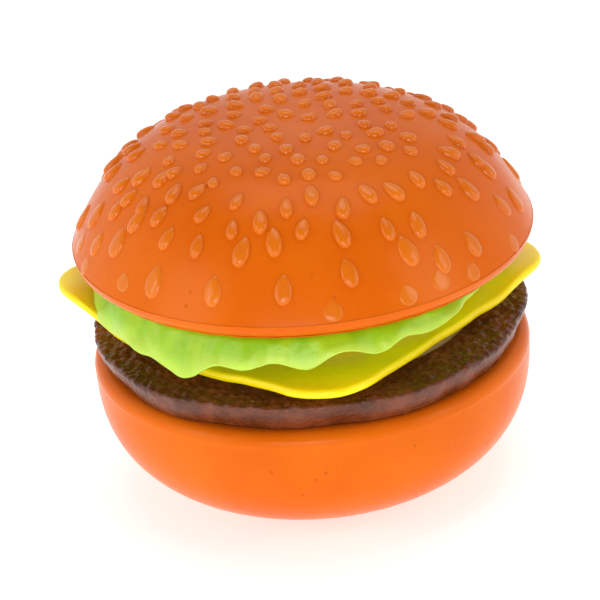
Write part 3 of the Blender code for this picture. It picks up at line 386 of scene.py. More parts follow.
# %% One seed
def seed_mesh(name, point):
    """A drop one unit long and wide, with its point towards +Y, and its skirt sunk below the surface."""
    rows = [(1.06, -0.5), (1.0, 0.0), (0.93, 0.42), (0.78, 0.72), (0.52, 0.92), (0.24, 1.0)]
    steps = 14
    verts, faces = [], []
    for share, height in rows:
        for i in range(steps):
            t = 2 * math.pi * i / steps
            x = 0.5 * math.sin(t) * abs(math.sin(t / 2)) ** point * (1 + 0.3 * point)
            y = 0.5 * math.cos(t)
            lift = 1 - 0.35 * share * math.cos(t)
            verts.append((x * share, y * share, height * (lift if height > 0 else 1)))
    verts.append((0, 0, 1.02))
    for row in range(len(rows) - 1):
        for i in range(steps):
            j = (i + 1) % steps
            a, b = row * steps, (row + 1) * steps
            faces.append((a + j, a + i, b + i, b + j))
    last = (len(rows) - 1) * steps
    faces += [(last + (i + 1) % steps, last + i, len(verts) - 1) for i in range(steps)]
    faces.append(tuple(range(steps)))
    mesh = bpy.data.meshes.new(name)
    mesh.from_pydata(verts, [], faces)
    mesh.shade_smooth()
    mesh.materials.append(ORANGE_SEED)
    obj = bpy.data.objects.new(name, mesh)
    bpy.context.scene.collection.objects.link(obj)
    return obj


round_seed, drop_seed = seed_mesh("round_seed_pattern", 0.2), seed_mesh("drop_seed_pattern", 0.42)


# %% The tree that scatters them
def geometry_input(tree, name, kind, value):
    socket = tree.interface.new_socket(name, in_out="INPUT", socket_type=kind)
    if value is not None:
        socket.default_value = value
    return socket.identifier


def scatter_tree(name, seed_number):
    """Scatters copies of a pattern over one band of a dome."""
    tree = bpy.data.node_groups.new(name, "GeometryNodeTree")
    tree.interface.new_socket("Geometry", in_out="OUTPUT", socket_type="NodeSocketGeometry")
    sockets = {"Dome": geometry_input(tree, "Dome", "NodeSocketGeometry", None)}
    numbers = {"Spacing": 0.008, "Lowest": 0.0, "Highest": 1.0, "Twist": 0.3, "Variation": 0.12}
    for label, value in numbers.items():
        sockets[label] = geometry_input(tree, label, "NodeSocketFloat", value)
    sockets["Size"] = geometry_input(tree, "Size", "NodeSocketVector", (0.005, 0.006, 0.001))
    sockets["Pattern"] = geometry_input(tree, "Pattern", "NodeSocketObject", None)
    sockets["Finish"] = geometry_input(tree, "Finish", "NodeSocketMaterial", None)
    entry = tree.nodes.new("NodeGroupInput")
    given = {label: Wire(tree, entry.outputs[label]) for label in sockets}
    height = node(tree, "ShaderNodeSeparateXYZ", None, {0: node(tree, "GeometryNodeInputPosition")}, "Z")
    above = height.math("GREATER_THAN", given["Lowest"])
    band = above * height.math("LESS_THAN", given["Highest"])
    spread = node(
        tree,
        "GeometryNodeDistributePointsOnFaces",
        {"distribute_method": "POISSON"},
        {
            "Mesh": given["Dome"],
            "Distance Min": given["Spacing"],
            "Density Max": 200000.0,
            "Density Factor": band,
            "Seed": seed_number,
        },
    )
    facing = Wire(tree, spread.value.node.outputs["Normal"])
    upright = node(tree, "FunctionNodeAlignRotationToVector", {"axis": "Z"}, {"Vector": facing})
    inputs = {"Rotation": upright, "Vector": (0.0, 0.0, 1.0)}
    uphill = node(tree, "FunctionNodeAlignRotationToVector", {"axis": "Y", "pivot_axis": "Z"}, inputs)
    twist = node(
        tree,
        "FunctionNodeRandomValue",
        {"data_type": "FLOAT"},
        {2: given["Twist"] * -1.0, 3: given["Twist"], "Seed": seed_number + 1},
        1,
    )
    spin = node(tree, "ShaderNodeCombineXYZ", None, {"Z": twist})
    turned = node(tree, "FunctionNodeRotateRotation", {"rotation_space": "LOCAL"}, {0: uphill, 1: spin})
    growth = node(
        tree,
        "FunctionNodeRandomValue",
        {"data_type": "FLOAT"},
        {2: 1.0 - given["Variation"], 3: 1.0 + given["Variation"], "Seed": seed_number + 2},
        1,
    )
    scale = node(tree, "ShaderNodeVectorMath", {"operation": "SCALE"}, {0: given["Size"], "Scale": growth})
    pattern = node(tree, "GeometryNodeObjectInfo", None, {0: given["Pattern"]}, "Geometry")
    inputs = {"Points": spread, "Instance": pattern, "Rotation": turned, "Scale": scale}
    copies = node(tree, "GeometryNodeInstanceOnPoints", None, inputs)
    real = node(tree, "GeometryNodeRealizeInstances", None, {0: copies})
    finished = node(tree, "GeometryNodeSetMaterial", None, {0: real, "Material": given["Finish"]})
    exit_ = tree.nodes.new("NodeGroupOutput")
    tree.links.new(finished.value, exit_.inputs[0])
    return tree, sockets


def scattered(name, host_points, seed_number, finish, **settings):
    """A host patch of the dome, turned into its seeds and made a plain mesh."""
    obj = piece_from_grid(name, host_points, finish)
    tree, sockets = scatter_tree(name + "_scatter", seed_number)
    modifier = obj.modifiers.new("scatter", "NODES")
    modifier.node_group = tree
    for label, value in settings.items():
        modifier[sockets[label]] = value
    modifier[sockets["Finish"]] = finish
    bpy.context.view_layer.update()
    return settled(obj)


# %% Seeds by zone
dome_patch = turned_grid([(r, z) for r, z in outside[1:63]], 128)


def seed_band(spacing, low, high, twist, *size):
    """Distances in millimetres, heights above the parting line, then the seed's width, length and height."""
    heights = {"Lowest": SEAM + low * MM, "Highest": SEAM + high * MM}
    return {"Spacing": spacing * MM, **heights, "Twist": twist, "Size": tuple(v * MM for v in size)}


ZONES = {
    "crown": seed_band(6.5, 27.6, 40, 1.0, 3.9, 5.0, 1.25),
    "shoulder": seed_band(7.2, 20.5, 26.4, 0.35, 4.0, 6.8, 1.3),
    "brow": seed_band(7.9, 14.4, 19.4, 0.2, 4.3, 8.0, 1.2),
    "side": seed_band(9.4, 7.2, 12.4, 0.15, 5.0, 8.4, 0.85),
    "low": seed_band(9.6, 2.4, 5.2, 0.25, 5.2, 5.6, 0.28),
}
for number, (zone, settings) in enumerate(ZONES.items()):
    pattern = round_seed if zone == "crown" else drop_seed
    seeds = scattered(f"seeds_{zone}", dome_patch, 11 + number, ORANGE_SEED, Pattern=pattern, **settings)
    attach(seeds, "lid")
    print(zone, "seeds:", len(seeds.data.polygons) // 85, "in", len(seeds.data.polygons), "faces")
for pattern in (round_seed, drop_seed):
    bpy.data.objects.remove(pattern)

# %% [markdown]
# ## The lettuce leaf
# The leaf is a soft moulding that is clamped under the bun. It rises from the clamp, rolls over just under
# the rim, and its frilly edge hangs down in uneven tongues. A short list of tongues shapes the front, and
# a plain rule ruffles the back.


# %% Lettuce finish
def leaf_finish():
    made, tree, shader = new_finish("lettuce")
    edge = node(tree, "ShaderNodeAttribute", {"attribute_name": "edge"}, None, "Fac")
    veins = cloudy(tree, 0.011, 3.0).ramp(0.38, 0.66)
    flesh = mixed(tree, veins, (0.24, 0.52, 0.002), (0.36, 0.62, 0.006))
    pale = mixed(tree, edge.ramp(0.74, 1.0), flesh, (0.50, 0.74, 0.07))
    surface = bump(tree, cloudy(tree, 0.0035, 3.0), 0.0003)
    feed(shader, Base_Color=pale, Roughness=cloudy(tree, 0.01) * 0.15 + 0.26, Normal=surface)
    feed(shader, Specular_IOR_Level=0.35)
    feed(shader, Subsurface_Weight=0.2, Subsurface_Radius=(0.003, 0.004, 0.0005), Subsurface_Scale=1.0)
    return made


LETTUCE = leaf_finish()

# %% Lettuce shape
LEAF_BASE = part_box("lettuce_leaf")[0][2] + 0.8 * MM
collar_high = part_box("filling_collar")[1]
FLANGE = 1.6 * MM
LEAF_ROOF = collar_high[2] - FLANGE - 1.0 * MM
# Each tongue's direction and half width in degrees, then how far it hangs in millimetres.
TONGUES = (
    (200, 14, 5.2),
    (221, 8, 3.2),
    (235, 7, 6.0),
    (252, 8, 2.6),
    (268, 6, 4.0),
    (287, 5, 3.0),
    (303, 6, 1.6),
)
BACK_FRILLS = tuple((11 + 21 * i, 7, 2.5 + 2.0 * (i % 2)) for i in range(8))


def bell(degrees, centre, width):
    away = (degrees - centre + 180) % 360 - 180
    return math.exp(-((away / width) ** 2))


def leaf_section(degrees):
    """Points across the leaf at one angle, from the clamp to the hanging edge."""
    hidden = bell(degrees, 346, 26)
    drop = (3.6 + 3.0 * bell(degrees, 226, 34)) * MM
    drop += sum(depth * bell(degrees, centre, width) for centre, width, depth in TONGUES + BACK_FRILLS) * MM
    drop *= 1 - 0.93 * hidden
    angle = math.radians(degrees)
    wobble = noise.noise(Vector((3 * math.cos(angle), 3 * math.sin(angle), 0.0)))
    frill = noise.noise(Vector((9 * math.cos(angle), 9 * math.sin(angle), 5.0)))
    near_hinge = max(0.0, math.sin(angle)) ** 6
    edge_r = 58.4 * MM + 0.16 * drop + 0.8 * MM * wobble - 2.0 * MM * near_hinge - 4.5 * MM * hidden
    edge_z = LEAF_ROOF - drop + 0.4 * MM * frill
    crest_r = 55.0 * MM + 0.8 * MM * wobble - 3 * MM * hidden
    crest_z = LEAF_ROOF - 0.08 * drop - 0.4 * MM * abs(frill)
    knots = [
        (42.9 * MM, LEAF_BASE),
        (45.5 * MM, LEAF_BASE),
        (49.5 * MM, LEAF_BASE + 2.5 * MM),
        (crest_r - 1.5 * MM, crest_z - 0.6 * MM),
        (crest_r + 1.0 * MM, crest_z),
        ((crest_r + edge_r) / 2 + 1.0 * MM, (0.45 * crest_z + 0.55 * edge_z)),
        (edge_r, edge_z),
    ]
    return knots


def through(knots, count):
    """count points evenly along a Catmull-Rom curve through the knots."""
    knots = np.array(knots)
    ends = np.vstack([2 * knots[0] - knots[1], knots, 2 * knots[-1] - knots[-2]])
    t = np.linspace(0, len(knots) - 1, count)
    i = np.minimum(t.astype(int), len(knots) - 2)
    f = (t - i)[:, None]
    a, b, c, d = ends[i], ends[i + 1], ends[i + 2], ends[i + 3]
    square, cube = 2 * a - 5 * b + 4 * c - d, 3 * b - a - 3 * c + d
    return 0.5 * (2 * b + (c - a) * f + square * f**2 + cube * f**3)


LEAF_ROUND, LEAF_ACROSS = 540, 34
grid = np.zeros((LEAF_ROUND, LEAF_ACROSS, 3))
for i in range(LEAF_ROUND):
    degrees = 360 * i / LEAF_ROUND
    angle = math.radians(degrees)
    for j, (r, z) in enumerate(through(leaf_section(degrees), LEAF_ACROSS)):
        loose = max(0.0, (j / (LEAF_ACROSS - 1) - 0.35) / 0.65)
        at = Vector((r * math.cos(angle), r * math.sin(angle), z)) / (7.5 * MM)
        fold = noise.noise(at * 0.8) * 1.5 * MM * loose
        small = noise.noise(at * 2.2) * 0.35 * MM * loose
        r += fold + small
        grid[i, j] = (r * math.cos(angle), r * math.sin(angle), z + 0.6 * small)
leaf = piece_from_grid("lettuce", grid, LETTUCE)
edge = leaf.data.attributes.new("edge", "FLOAT", "POINT")
edge.data.foreach_set("value", np.tile(np.linspace(0, 1, LEAF_ACROSS), LEAF_ROUND).astype(np.float32))
thick = leaf.modifiers.new("thickness", "SOLIDIFY")
thick.thickness = 1.1 * MM
thick.offset = 0
bpy.context.view_layer.update()
settled(leaf)
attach(leaf, "lid")
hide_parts("lettuce_leaf")
print("leaf", len(leaf.data.polygons), "faces")

# %% [markdown]
# ## The cheese slice
# The slice is a soft square with round corners. Its left corner lifts, its front corner comes out between
# the leaf and the patty, and the middle is open for the earpiece panel. Its outline is a rounded square,
# walked at many angles, and the corners are bent by smooth steps in the distance from the middle. The thin
# vinyl lets some light through, through the subsurface weight. The slice also glows faintly in its own
# colour:
# this is painted light, which brightens the slice where it lies in shade under the leaf and the bun.


# %% Cheese finish
def cheese_finish():
    made, tree, shader = new_finish("cheese")
    drift = cloudy(tree, 0.02, 2.0).ramp(0.3, 0.7)
    tint = mixed(tree, drift, (0.84, 0.62, 0.001), (0.92, 0.72, 0.002))
    surface = bump(tree, cloudy(tree, 0.004, 3.0), 0.00022)
    feed(shader, Base_Color=tint, Roughness=cloudy(tree, 0.012) * 0.14 + 0.24, Normal=surface)
    # Painted light: the emission makes the slice glow in its own colour, which brightens it where it lies in
    # shade.
    feed(shader, Specular_IOR_Level=0.3, Emission_Color=tint, Emission_Strength=0.12)
    feed(shader, Subsurface_Weight=0.2, Subsurface_Radius=(0.004, 0.003, 0.0003), Subsurface_Scale=1.0)
    return made


CHEESE = cheese_finish()

# %% Cheese shape
cheese_low, cheese_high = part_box("cheese_slice")
CHEESE_MIDDLE = (0.0, 4.0 * MM)
CHEESE_SIDE, CHEESE_CORNER = 52.2 * MM, 17.0 * MM
CHEESE_HOLE = 41.3 * MM
CHEESE_TURN = 3.0


def slice_radius(degrees):
    """Distance from the slice's middle to its edge."""
    folded = math.radians(abs((degrees - CHEESE_TURN + 45) % 90 - 45))
    from_side = math.pi / 4 - folded
    c, s = math.cos(from_side), math.sin(from_side)
    core = CHEESE_SIDE - CHEESE_CORNER
    if CHEESE_SIDE * s / c <= core:
        return CHEESE_SIDE / c
    along = core * (c + s)
    return along + math.sqrt(along**2 - 2 * core**2 + CHEESE_CORNER**2)


def step_up(value, low, high):
    t = min(1.0, max(0.0, (value - low) / (high - low)))
    return t * t * (3 - 2 * t)


def bend(x, y):
    """How far the slice is lifted at a place."""
    left = step_up(-x, 50 * MM, 68 * MM) * 8.0 * MM
    front = 0.4 * MM * step_up(-y, 44 * MM, 57 * MM)
    right = step_up(x, 50 * MM, 66 * MM) * (1.6 * MM + 1.0 * MM * math.cos(y / (8 * MM)))
    loose = step_up(math.hypot(x, y), 44 * MM, 54 * MM)
    ripple = 0.6 * MM * noise.noise(Vector((x, y, 0)) / (17 * MM)) * loose
    return left + front + right + ripple


steps, across = 480, 22
half = (cheese_high[2] - cheese_low[2]) / 2
level = (cheese_high[2] + cheese_low[2]) / 2
shares = [j / (across - 1) for j in range(across)]
ring = [(share, half) for share in shares]
for turn in (30, 60, 90, 120, 150):
    ring.append((1.0 + 0.9 * MM * math.sin(math.radians(turn)), half * math.cos(math.radians(turn))))
ring += [(share, -half) for share in reversed(shares)]
grid = np.zeros((steps, len(ring), 3))
for i in range(steps):
    degrees = 360 * i / steps
    angle = math.radians(degrees)
    reach = slice_radius(degrees)
    front_push = 0.075 * math.exp(-(((degrees - 232) / 20) ** 2))
    left_push = 0.045 * math.exp(-(((degrees - 180) / 13) ** 2))
    pushed = 1 + front_push + left_push
    ragged = 0.5 * MM * noise.noise(Vector((math.cos(angle) * 7, math.sin(angle) * 7, 2.0)))
    ex = CHEESE_MIDDLE[0] + (reach * pushed + ragged) * math.cos(angle)
    ey = CHEESE_MIDDLE[1] + (reach * pushed + ragged) * math.sin(angle)
    hx, hy = CHEESE_HOLE * math.cos(angle), CHEESE_HOLE * math.sin(angle)
    length = math.hypot(ex - hx, ey - hy)
    for j, (share, z) in enumerate(ring):
        over = share - 1 if share > 1 else 0.0
        share = min(share, 1.0)
        x = hx + (ex - hx) * share + over * (ex - hx) / length
        y = hy + (ey - hy) * share + over * (ey - hy) / length
        grid[i, j] = (x, y, level + z + bend(x, y))
cheese = piece_from_grid("cheese", grid, CHEESE, wrap_across=True)
ARM_SIDE = 23.0 * MM
notch = helper_block((2 * ARM_SIDE, 60 * MM, 20 * MM), (0, CHEESE_HOLE - 8.3 * MM + 30 * MM, level))
cut_with(cheese, [notch])
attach(cheese, "lid")
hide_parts("cheese_slice")
print("cheese", len(cheese.data.polygons), "faces")

# %% [markdown]
# ## The patty
# The patty is a thick ring round the keypad deck. Its top is pebbled like grilled meat, its edge is narrow,
# and its side is smoother with upright wrinkles. The pebbles are real relief in the mesh, from a Voronoi
# pattern that is evaluated at each point, and a bump adds the finest pores.


# %% Patty finish
def patty_finish():
    made, tree, shader = new_finish("patty")
    patches = cloudy(tree, 0.009, 4.0).ramp(0.35, 0.68)
    char = cloudy(tree, 0.0026, 3.0).ramp(0.42, 0.7)
    tint = mixed(tree, patches, (0.095, 0.022, 0.005), (0.190, 0.045, 0.014))
    tint = mixed(tree, char * 0.4, tint, (0.040, 0.010, 0.003))
    inputs = {"Vector": place_on_piece(tree), "Scale": 95.0}
    fat = node(tree, "ShaderNodeTexVoronoi", {"feature": "F1"}, inputs)
    tint = mixed(tree, (1 - fat.ramp(0.03, 0.06)) * 0.7, tint, (0.42, 0.23, 0.12))
    surface = bump(tree, cloudy(tree, 0.0012, 4.0), 0.0003)
    feed(shader, Base_Color=tint, Roughness=cloudy(tree, 0.004) * 0.22 + 0.14, Normal=surface)
    feed(shader, Specular_IOR_Level=0.42)
    return made


PATTY = patty_finish()

# %% Patty shape
patty_low, patty_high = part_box("patty")
P_TOP, P_LOW = patty_high[2] - 0.3 * MM, patty_low[2]
LIP, REBATE, STEP = 47.5 * MM, 52.9 * MM, P_LOW + 3.3 * MM
EDGE = 0.9 * MM


def patty_rim(angle):
    wave = math.sin(5 * angle + 0.6) + 0.6 * math.sin(11 * angle + 2.0)
    return patty_high[0] - 0.9 * MM + 0.6 * MM * wave


def patty_section(angle):
    """(radius, height, relief) round the cross-section. relief is how much of the pebbles shows."""
    rim = patty_rim(angle)
    under = 0.7 * MM * noise.noise(Vector((6 * math.cos(angle), 6 * math.sin(angle), 9.0)))
    points = [(LIP, STEP, 0), (LIP, P_TOP - 0.8 * MM, 0), (LIP + 0.4 * MM, P_TOP - 0.1 * MM, 0.3)]
    points += [(LIP + (rim - EDGE - LIP) * t, P_TOP, 1) for t in np.linspace(0.08, 1, 30)]
    for turn in (20, 45, 70, 90):
        a = math.radians(turn)
        points.append((rim - EDGE * (1 - math.sin(a)), P_TOP - EDGE * (1 - math.cos(a)), 0.9))
    foot = rim - 2.6 * MM + under
    shoulder, sole = P_TOP - EDGE, P_LOW + 1.0 * MM
    for t in np.linspace(0.1, 1, 10):
        bulge = 0.35 * MM * math.sin(math.pi * t)
        points.append((rim + (foot - rim) * t + bulge, shoulder + (sole - shoulder) * t, 0.12))
    points += [(foot - 0.3 * MM, P_LOW + 0.3 * MM, 0.1), (foot - 1.2 * MM, P_LOW, 0)]
    points += [(REBATE, P_LOW, 0), (REBATE, STEP, 0)]
    return points


PATTY_ROUND = 720
grid = np.zeros((PATTY_ROUND, len(patty_section(0.0)), 3))
for i in range(PATTY_ROUND):
    angle = 2 * math.pi * i / PATTY_ROUND
    c, s = math.cos(angle), math.sin(angle)
    for j, (r, z, relief) in enumerate(patty_section(angle)):
        if relief:
            at = Vector((r * c, r * s, z)) / (2.3 * MM)
            near = noise.voronoi(at)[0][0]
            pebble = (0.50 - near) * 1.5 * MM * relief
            flute = 0.35 * MM * noise.noise(Vector((r * c, r * s, z * 0.3)) / (3.5 * MM)) * (1 - relief)
            top_share = 1.0 if relief == 1 else 0.35
            z += pebble * top_share
            r += pebble * (1 - top_share) + flute
        grid[i, j] = (r * c, r * s, z)
patty = piece_from_grid("patty_ring", grid, PATTY, wrap_across=True)
deck_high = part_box("keypad_deck")[1]
TONGUE_WIDTH = 26 * MM
cut_with(patty, [helper_block((TONGUE_WIDTH, deck_high[1], 40 * MM), (0, deck_high[1] - 4.5 * MM, P_TOP))])
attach(patty, "base")
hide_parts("patty")
print("patty", len(patty.data.polygons), "faces")

# %% [markdown]
# ## The bottom bun
# The base is a bowl with a soft shoulder and a narrow flat ledge under the patty. It is turned like the
# crown, then cut: the line socket, two switch slots and the ringer's vents at the back, and the screw
# wells and the pad's recess underneath.

# %% Bottom bun shell
heel_low, heel_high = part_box("bottom_bun_shell")
HEEL_RADIUS, HEEL_TOP, HEEL_BOTTOM = heel_high[0], heel_high[2], heel_low[2]
HEEL_FOOT = 30.5 * MM
SHOULDER = 3.2 * MM
WALL = 2.4 * MM
WIDEST = HEEL_TOP - SHOULDER


def heel_radius(z):
    t = min(1.0, max(0.0, (WIDEST - z) / (WIDEST - HEEL_BOTTOM)))
    return HEEL_FOOT + (HEEL_RADIUS - HEEL_FOOT) * (1 - t**2.7) ** (1 / 1.7)


ledge_r = 50.6 * MM
shares = 1 - (1 - np.linspace(0.03, 1, 44)) ** 1.7
levels = [WIDEST + (HEEL_BOTTOM - WIDEST) * share for share in shares]
outer = [(heel_radius(z), z) for z in levels]
profile = [(0.0, HEEL_BOTTOM + WALL), (HEEL_FOOT - 4 * MM, HEEL_BOTTOM + WALL)]
profile += [(max(r - WALL, HEEL_FOOT - 3 * MM), z + 0.5 * WALL) for r, z in reversed(outer[:-4])]
profile += [(HEEL_RADIUS - WALL, WIDEST - 2 * MM), (HEEL_RADIUS - 2 * WALL, HEEL_TOP - WALL)]
profile += [(ledge_r, HEEL_TOP - WALL), (ledge_r, HEEL_TOP - 0.3 * MM), (ledge_r + 0.3 * MM, HEEL_TOP)]
for a in np.linspace(90, 9, 12):
    turn = math.radians(a)
    profile.append((HEEL_RADIUS - SHOULDER * (1 - math.cos(turn)), WIDEST + SHOULDER * math.sin(turn)))
profile += parting_line(HEEL_RADIUS, WIDEST) + outer + [(HEEL_FOOT - 3 * MM, HEEL_BOTTOM), (0.0, HEEL_BOTTOM)]
bottom_bun = piece_from_grid("bottom_bun", turned_grid(profile, 256), ORANGE_BASE)
jack_low, jack_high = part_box("line_jack")
cutters = [
    helper_block(
        (jack_high[0] - jack_low[0] + 0.6 * MM, 30 * MM, jack_high[2] - jack_low[2] + 0.6 * MM),
        (0, jack_high[1], (jack_low[2] + jack_high[2]) / 2),
    )
]
SWITCH_Z = 26 * MM
WELL_INSIDE, WELL_OUTSIDE = 2.9 * MM, 4.6 * MM
for degrees, low, high in ((155, -3, 3), (25, 0, 4)):
    size = (19 * MM, 2.4 * MM + (high - low) * MM + 0.6 * MM, 2.6 * MM)
    cutters.append(helper_block(size, (heel_radius(SWITCH_Z), (low + high) / 2 * MM, SWITCH_Z), degrees))
for i in range(5):
    x = (31 + 3 * (i - 2)) * MM
    cutters.append(helper_block((1.2 * MM, 30 * MM, 6 * MM), (x, math.sqrt(HEEL_RADIUS**2 - x**2), 15 * MM)))
for number in range(1, 5):
    low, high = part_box(f"base_screw_{number}")
    x, y = (low[0] + high[0]) / 2, (low[1] + high[1]) / 2
    cutters.append(helper_rod(WELL_INSIDE, x, y, -0.01, low[2]))
pad_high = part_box("base_pad")[1]
cutters.append(helper_rod(pad_high[0] + 0.3 * MM, 0, 0, -0.01, pad_high[2] + 0.3 * MM, 96))
cut_with(bottom_bun, cutters)
for number in range(1, 5):
    low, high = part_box(f"base_screw_{number}")
    x, y = (low[0] + high[0]) / 2, (low[1] + high[1]) / 2
    seat, roof = low[2] + 0.3 * MM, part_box("keypad_deck")[0][2] - 0.3 * MM
    reach = math.hypot(x, y) + WELL_OUTSIDE
    foot = next(z for z in np.arange(4, 20, 0.25) * MM if heel_radius(z - 1.5 * MM) > reach)
    cup = [(1.55 * MM, roof), (1.55 * MM, seat), (WELL_INSIDE, seat), (WELL_INSIDE, foot)]
    cup += [(WELL_OUTSIDE, foot), (WELL_OUTSIDE, roof)]
    grid = turned_grid(cup, 40) + np.array([x, y, 0.0])
    well = piece_from_grid(f"screw_well_{number}", grid, ORANGE_BASE, wrap_across=True)
    well.data.set_sharp_from_angle(angle=math.radians(40))
    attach(well, "base")
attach(bottom_bun, "base")
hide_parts("bottom_bun_shell")
print("bottom bun", len(bottom_bun.data.polygons), "faces")

# %% [markdown]
# ## The hard parts
# The deck, the earpiece panel, the hinge and the small works already have the right shape in the model.
# A copy of each is welded, its flat faces are joined, and its edges get the small radius that a mould
# leaves, because a perfectly sharp edge catches no light.


# %% Copies with soft edges
def softened(node_name, body, finish, radius=0.25 * MM, segments=2):
    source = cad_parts[node_name]
    shape = bmesh.new()
    shape.from_mesh(source.data)
    bmesh.ops.remove_doubles(shape, verts=shape.verts, dist=1e-6)
    bmesh.ops.dissolve_limit(shape, angle_limit=math.radians(0.5), verts=shape.verts, edges=shape.edges)
    mesh = bpy.data.meshes.new(node_name + "_fine")
    shape.to_mesh(mesh)
    shape.free()
    mesh.materials.clear()
    mesh.materials.append(finish)
    mesh.shade_smooth()
    mesh.set_sharp_from_angle(angle=math.radians(32))
    obj = bpy.data.objects.new(node_name + "_fine", mesh)
    bpy.context.scene.collection.objects.link(obj)
    if radius:
        bevel = obj.modifiers.new("edges", "BEVEL")
        bevel.width = radius
        bevel.segments = segments
        bevel.limit_method = "ANGLE"
        bevel.angle_limit = math.radians(32)
        bevel.harden_normals = False
        bpy.context.view_layer.update()
        settled(obj)
    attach(obj, body)
    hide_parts(node_name)
    return obj


HARD = {
    "base": {
        "keypad_deck": CREAM,
        "line_jack": BLACK,
        "base_pad": RUBBER_BLACK,
        "lid_bumper_1": RUBBER_GREY,
        "lid_bumper_2": RUBBER_GREY,
        "hinge_pin": STEEL,
        "hinge_tube": BRASS,
    },
    "lid": {"earpiece_panel": CREAM, "filling_collar": ORANGE_TOP},
    "hook": {"hook_plunger": IVORY},
    "ringer_switch": {"ringer_switch_knob": BLACK},
    "dial_mode_switch": {"dial_mode_switch_knob": BLACK},
}
for body, parts in HARD.items():
    for node_name, finish in parts.items():
        softened(node_name, body, finish)

# %% [markdown]
# The works inside are seen only where the lid or a slot opens. They keep the model's own shapes, and each
# takes its finish through its object's material slots, which leaves the mesh as it is.

# %% Finishes for the works inside
INSIDE = {
    "keypad_mat": RUBBER_GREY,
    "earpiece_gasket": RUBBER_GREY,
    "microphone_boot": RUBBER_BLACK,
    "main_board": BOARD,
    "microphone": STEEL,
    "earpiece_speaker": STEEL,
    "ballast_plate": STEEL,
    "hook_switch": BLACK,
    "ringer": BLACK,
    "ringer_switch_body": BLACK,
    "dial_mode_switch_body": BLACK,
    "earpiece_clamp": BLACK,
    "earpiece_lead_base": LEAD_RED,
    "earpiece_lead_lid": LEAD_RED,
}
for node_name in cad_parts:
    if "screw" in node_name:
        INSIDE[node_name] = STEEL
for node_name, finish in INSIDE.items():
    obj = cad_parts[node_name]
    if not obj.material_slots:
        obj.data.materials.append(finish)
    for place in obj.material_slots:
        place.link = "OBJECT"
        place.material = finish
print(sum(len(parts) for parts in HARD.values()), "softened,", len(INSIDE), "kept")

# %% [markdown]
# The collar's flange would show as a second band under the bun's rim. Its lower edge is cut back to a cone,
# turned like the other round pieces and taken away with a Boolean, so that the rim hides it.

# %% Collar tucked under the rim
flange_top, flange_under = collar_high[2], collar_high[2] - FLANGE
CONE_FOOT, CONE_OUTSIDE = 56.4 * MM, 66 * MM
cone = [(collar_high[0] - 0.2 * MM, flange_top - 0.2 * MM), (CONE_FOOT, flange_under - 0.02 * MM)]
cone += [(CONE_FOOT, flange_under - 0.5 * MM), (CONE_OUTSIDE, flange_under - 0.5 * MM)]
cone += [(CONE_OUTSIDE, flange_top - 0.2 * MM)]
cutter = piece_from_grid("collar_cutter", turned_grid(cone, 192), None, wrap_across=True)
cut_with(bpy.data.objects["filling_collar_fine"], [cutter])
print("collar edge", round(collar_high[0] / MM, 1), "mm, cut back to a cone")

# %% [markdown]
# ## The keys
# Each key is a soft-edged cap with a flat top and a printed legend. The cap is the model's,
# softened more than the rest, and the legend is a text made into a thin mesh that lies on it.

# %% Keys and legends
LEGENDS = {"star": "*", "hash": "#", "redial": "R", "flash": "F"}
for node_name in sorted(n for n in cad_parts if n.startswith("key_")):
    softened(node_name, node_name, IVORY, 0.5 * MM, 3)
    low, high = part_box(node_name)
    label = node_name[4:]
    text = bpy.data.curves.new(node_name + "_legend", "FONT")
    text.body = LEGENDS.get(label, label)
    text.size = 5.2 * MM
    text.align_x, text.align_y = "CENTER", "CENTER"
    text.extrude = 0.04 * MM
    text.resolution_u = 6
    holder = bpy.data.objects.new("text", text)
    bpy.context.scene.collection.objects.link(holder)
    bpy.context.view_layer.update()
    mesh = bpy.data.meshes.new_from_object(holder.evaluated_get(bpy.context.evaluated_depsgraph_get()))
    mesh.transform(Matrix.Translation(((low[0] + high[0]) / 2, (low[1] + high[1]) / 2, high[2] + 0.03 * MM)))
    mesh.materials.clear()
    mesh.materials.append(INK)
    bpy.data.objects.remove(holder)
    legend = bpy.data.objects.new(node_name + "_legend", mesh)
    bpy.context.scene.collection.objects.link(legend)
    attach(legend, node_name)
print("keys done")

# %% [markdown]
# ## Floor, light and camera
# The object stands on a white sweep under broad soft lights, so the gloss shows as wide pale patches. The
# lens is long and the camera looks down at 26 degrees, turned a few degrees about its view.

# %% Floor
floor_shape = bmesh.new()
bmesh.ops.create_grid(floor_shape, x_segments=1, y_segments=1, size=3.0)
floor = helper_object(floor_shape)
floor.name = "floor"
paper, tree, shader = new_finish("paper white")
feed(shader, Base_Color=(0.95, 0.95, 0.95), Roughness=0.7)
feed(shader, Emission_Color=(1.0, 1.0, 1.0), Emission_Strength=0.5)
floor.data.materials.append(paper)

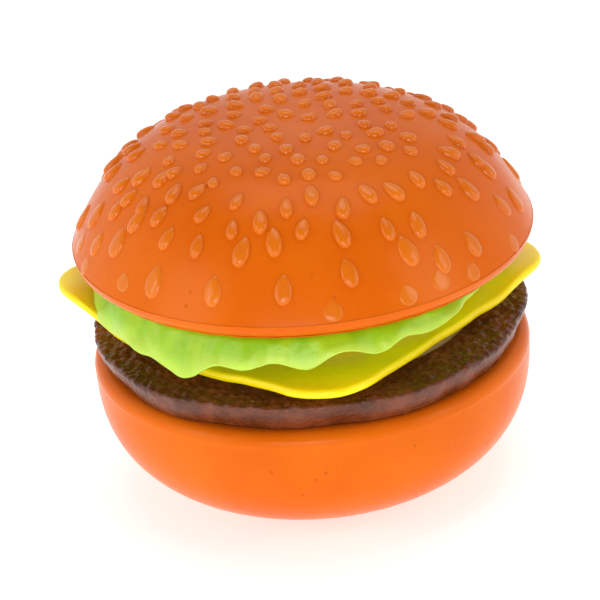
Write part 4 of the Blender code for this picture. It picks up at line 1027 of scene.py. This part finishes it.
# %% Lights
world = bpy.data.worlds.new("studio")
world.use_nodes = True
tree = world.node_tree
backdrop = tree.nodes["Background"]
sky = node(tree, "ShaderNodeTexCoord", output="Generated")
across = node(tree, "ShaderNodeSeparateXYZ", None, {0: sky}, "X")
front = node(tree, "ShaderNodeSeparateXYZ", None, {0: sky}, "Y")
height = node(tree, "ShaderNodeSeparateXYZ", None, {0: sky}, "Z")
wings = across.math("ABSOLUTE").ramp(0.55, 0.95)
behind = front.ramp(0.0, 0.8)
glow = (wings + behind) * 0.62 + 0.22 - height.ramp(0.2, 0.9) * 0.08
tree.links.new(glow.value, backdrop.inputs["Strength"])
backdrop.inputs["Color"].default_value = (1, 1, 1, 1)
bpy.context.scene.world = world


def soft_light(name, place, size, power):
    lamp = bpy.data.lights.new(name, "AREA")
    lamp.shape = "RECTANGLE"
    lamp.size, lamp.size_y = size
    lamp.energy = power
    obj = bpy.data.objects.new(name, lamp)
    obj.location = place
    obj.rotation_euler = (Vector((0, 0, 0.06)) - Vector(place)).to_track_quat("-Z", "Y").to_euler()
    bpy.context.scene.collection.objects.link(obj)


soft_light("overhead", (0.05, 0.15, 0.95), (0.8, 0.5), 2.8)
soft_light("front_panel", (-0.12, -0.90, 0.26), (0.50, 0.30), 3.0)
soft_light("left_sheet", (-0.80, -0.45, 0.42), (0.4, 0.6), 1.9)
soft_light("right_sheet", (0.80, -0.40, 0.45), (0.4, 0.6), 1.6)

# %% Camera
camera_data = bpy.data.cameras.new("camera")
camera_data.lens = 147
camera = bpy.data.objects.new("camera", camera_data)
bpy.context.scene.collection.objects.link(camera)
bpy.context.scene.camera = camera
RISE, ROLL, FAR = math.radians(26), math.radians(4.8), 0.700
aim = Vector((0, 0, 0.050))
forward = Vector((0, math.cos(RISE), -math.sin(RISE)))
right = forward.cross(Vector((0, 0, 1))).normalized()
up = right.cross(forward)
tilted_right = right * math.cos(ROLL) - up * math.sin(ROLL)
tilted_up = right * math.sin(ROLL) + up * math.cos(ROLL)
place = aim - forward * FAR - tilted_right * 2.4 * MM + tilted_up * 0.3 * MM
turn = Matrix((tilted_right, tilted_up, -forward)).transposed()
camera.matrix_world = Matrix.Translation(place) @ turn.to_4x4()
bpy.context.scene.view_settings.view_transform = "Standard"
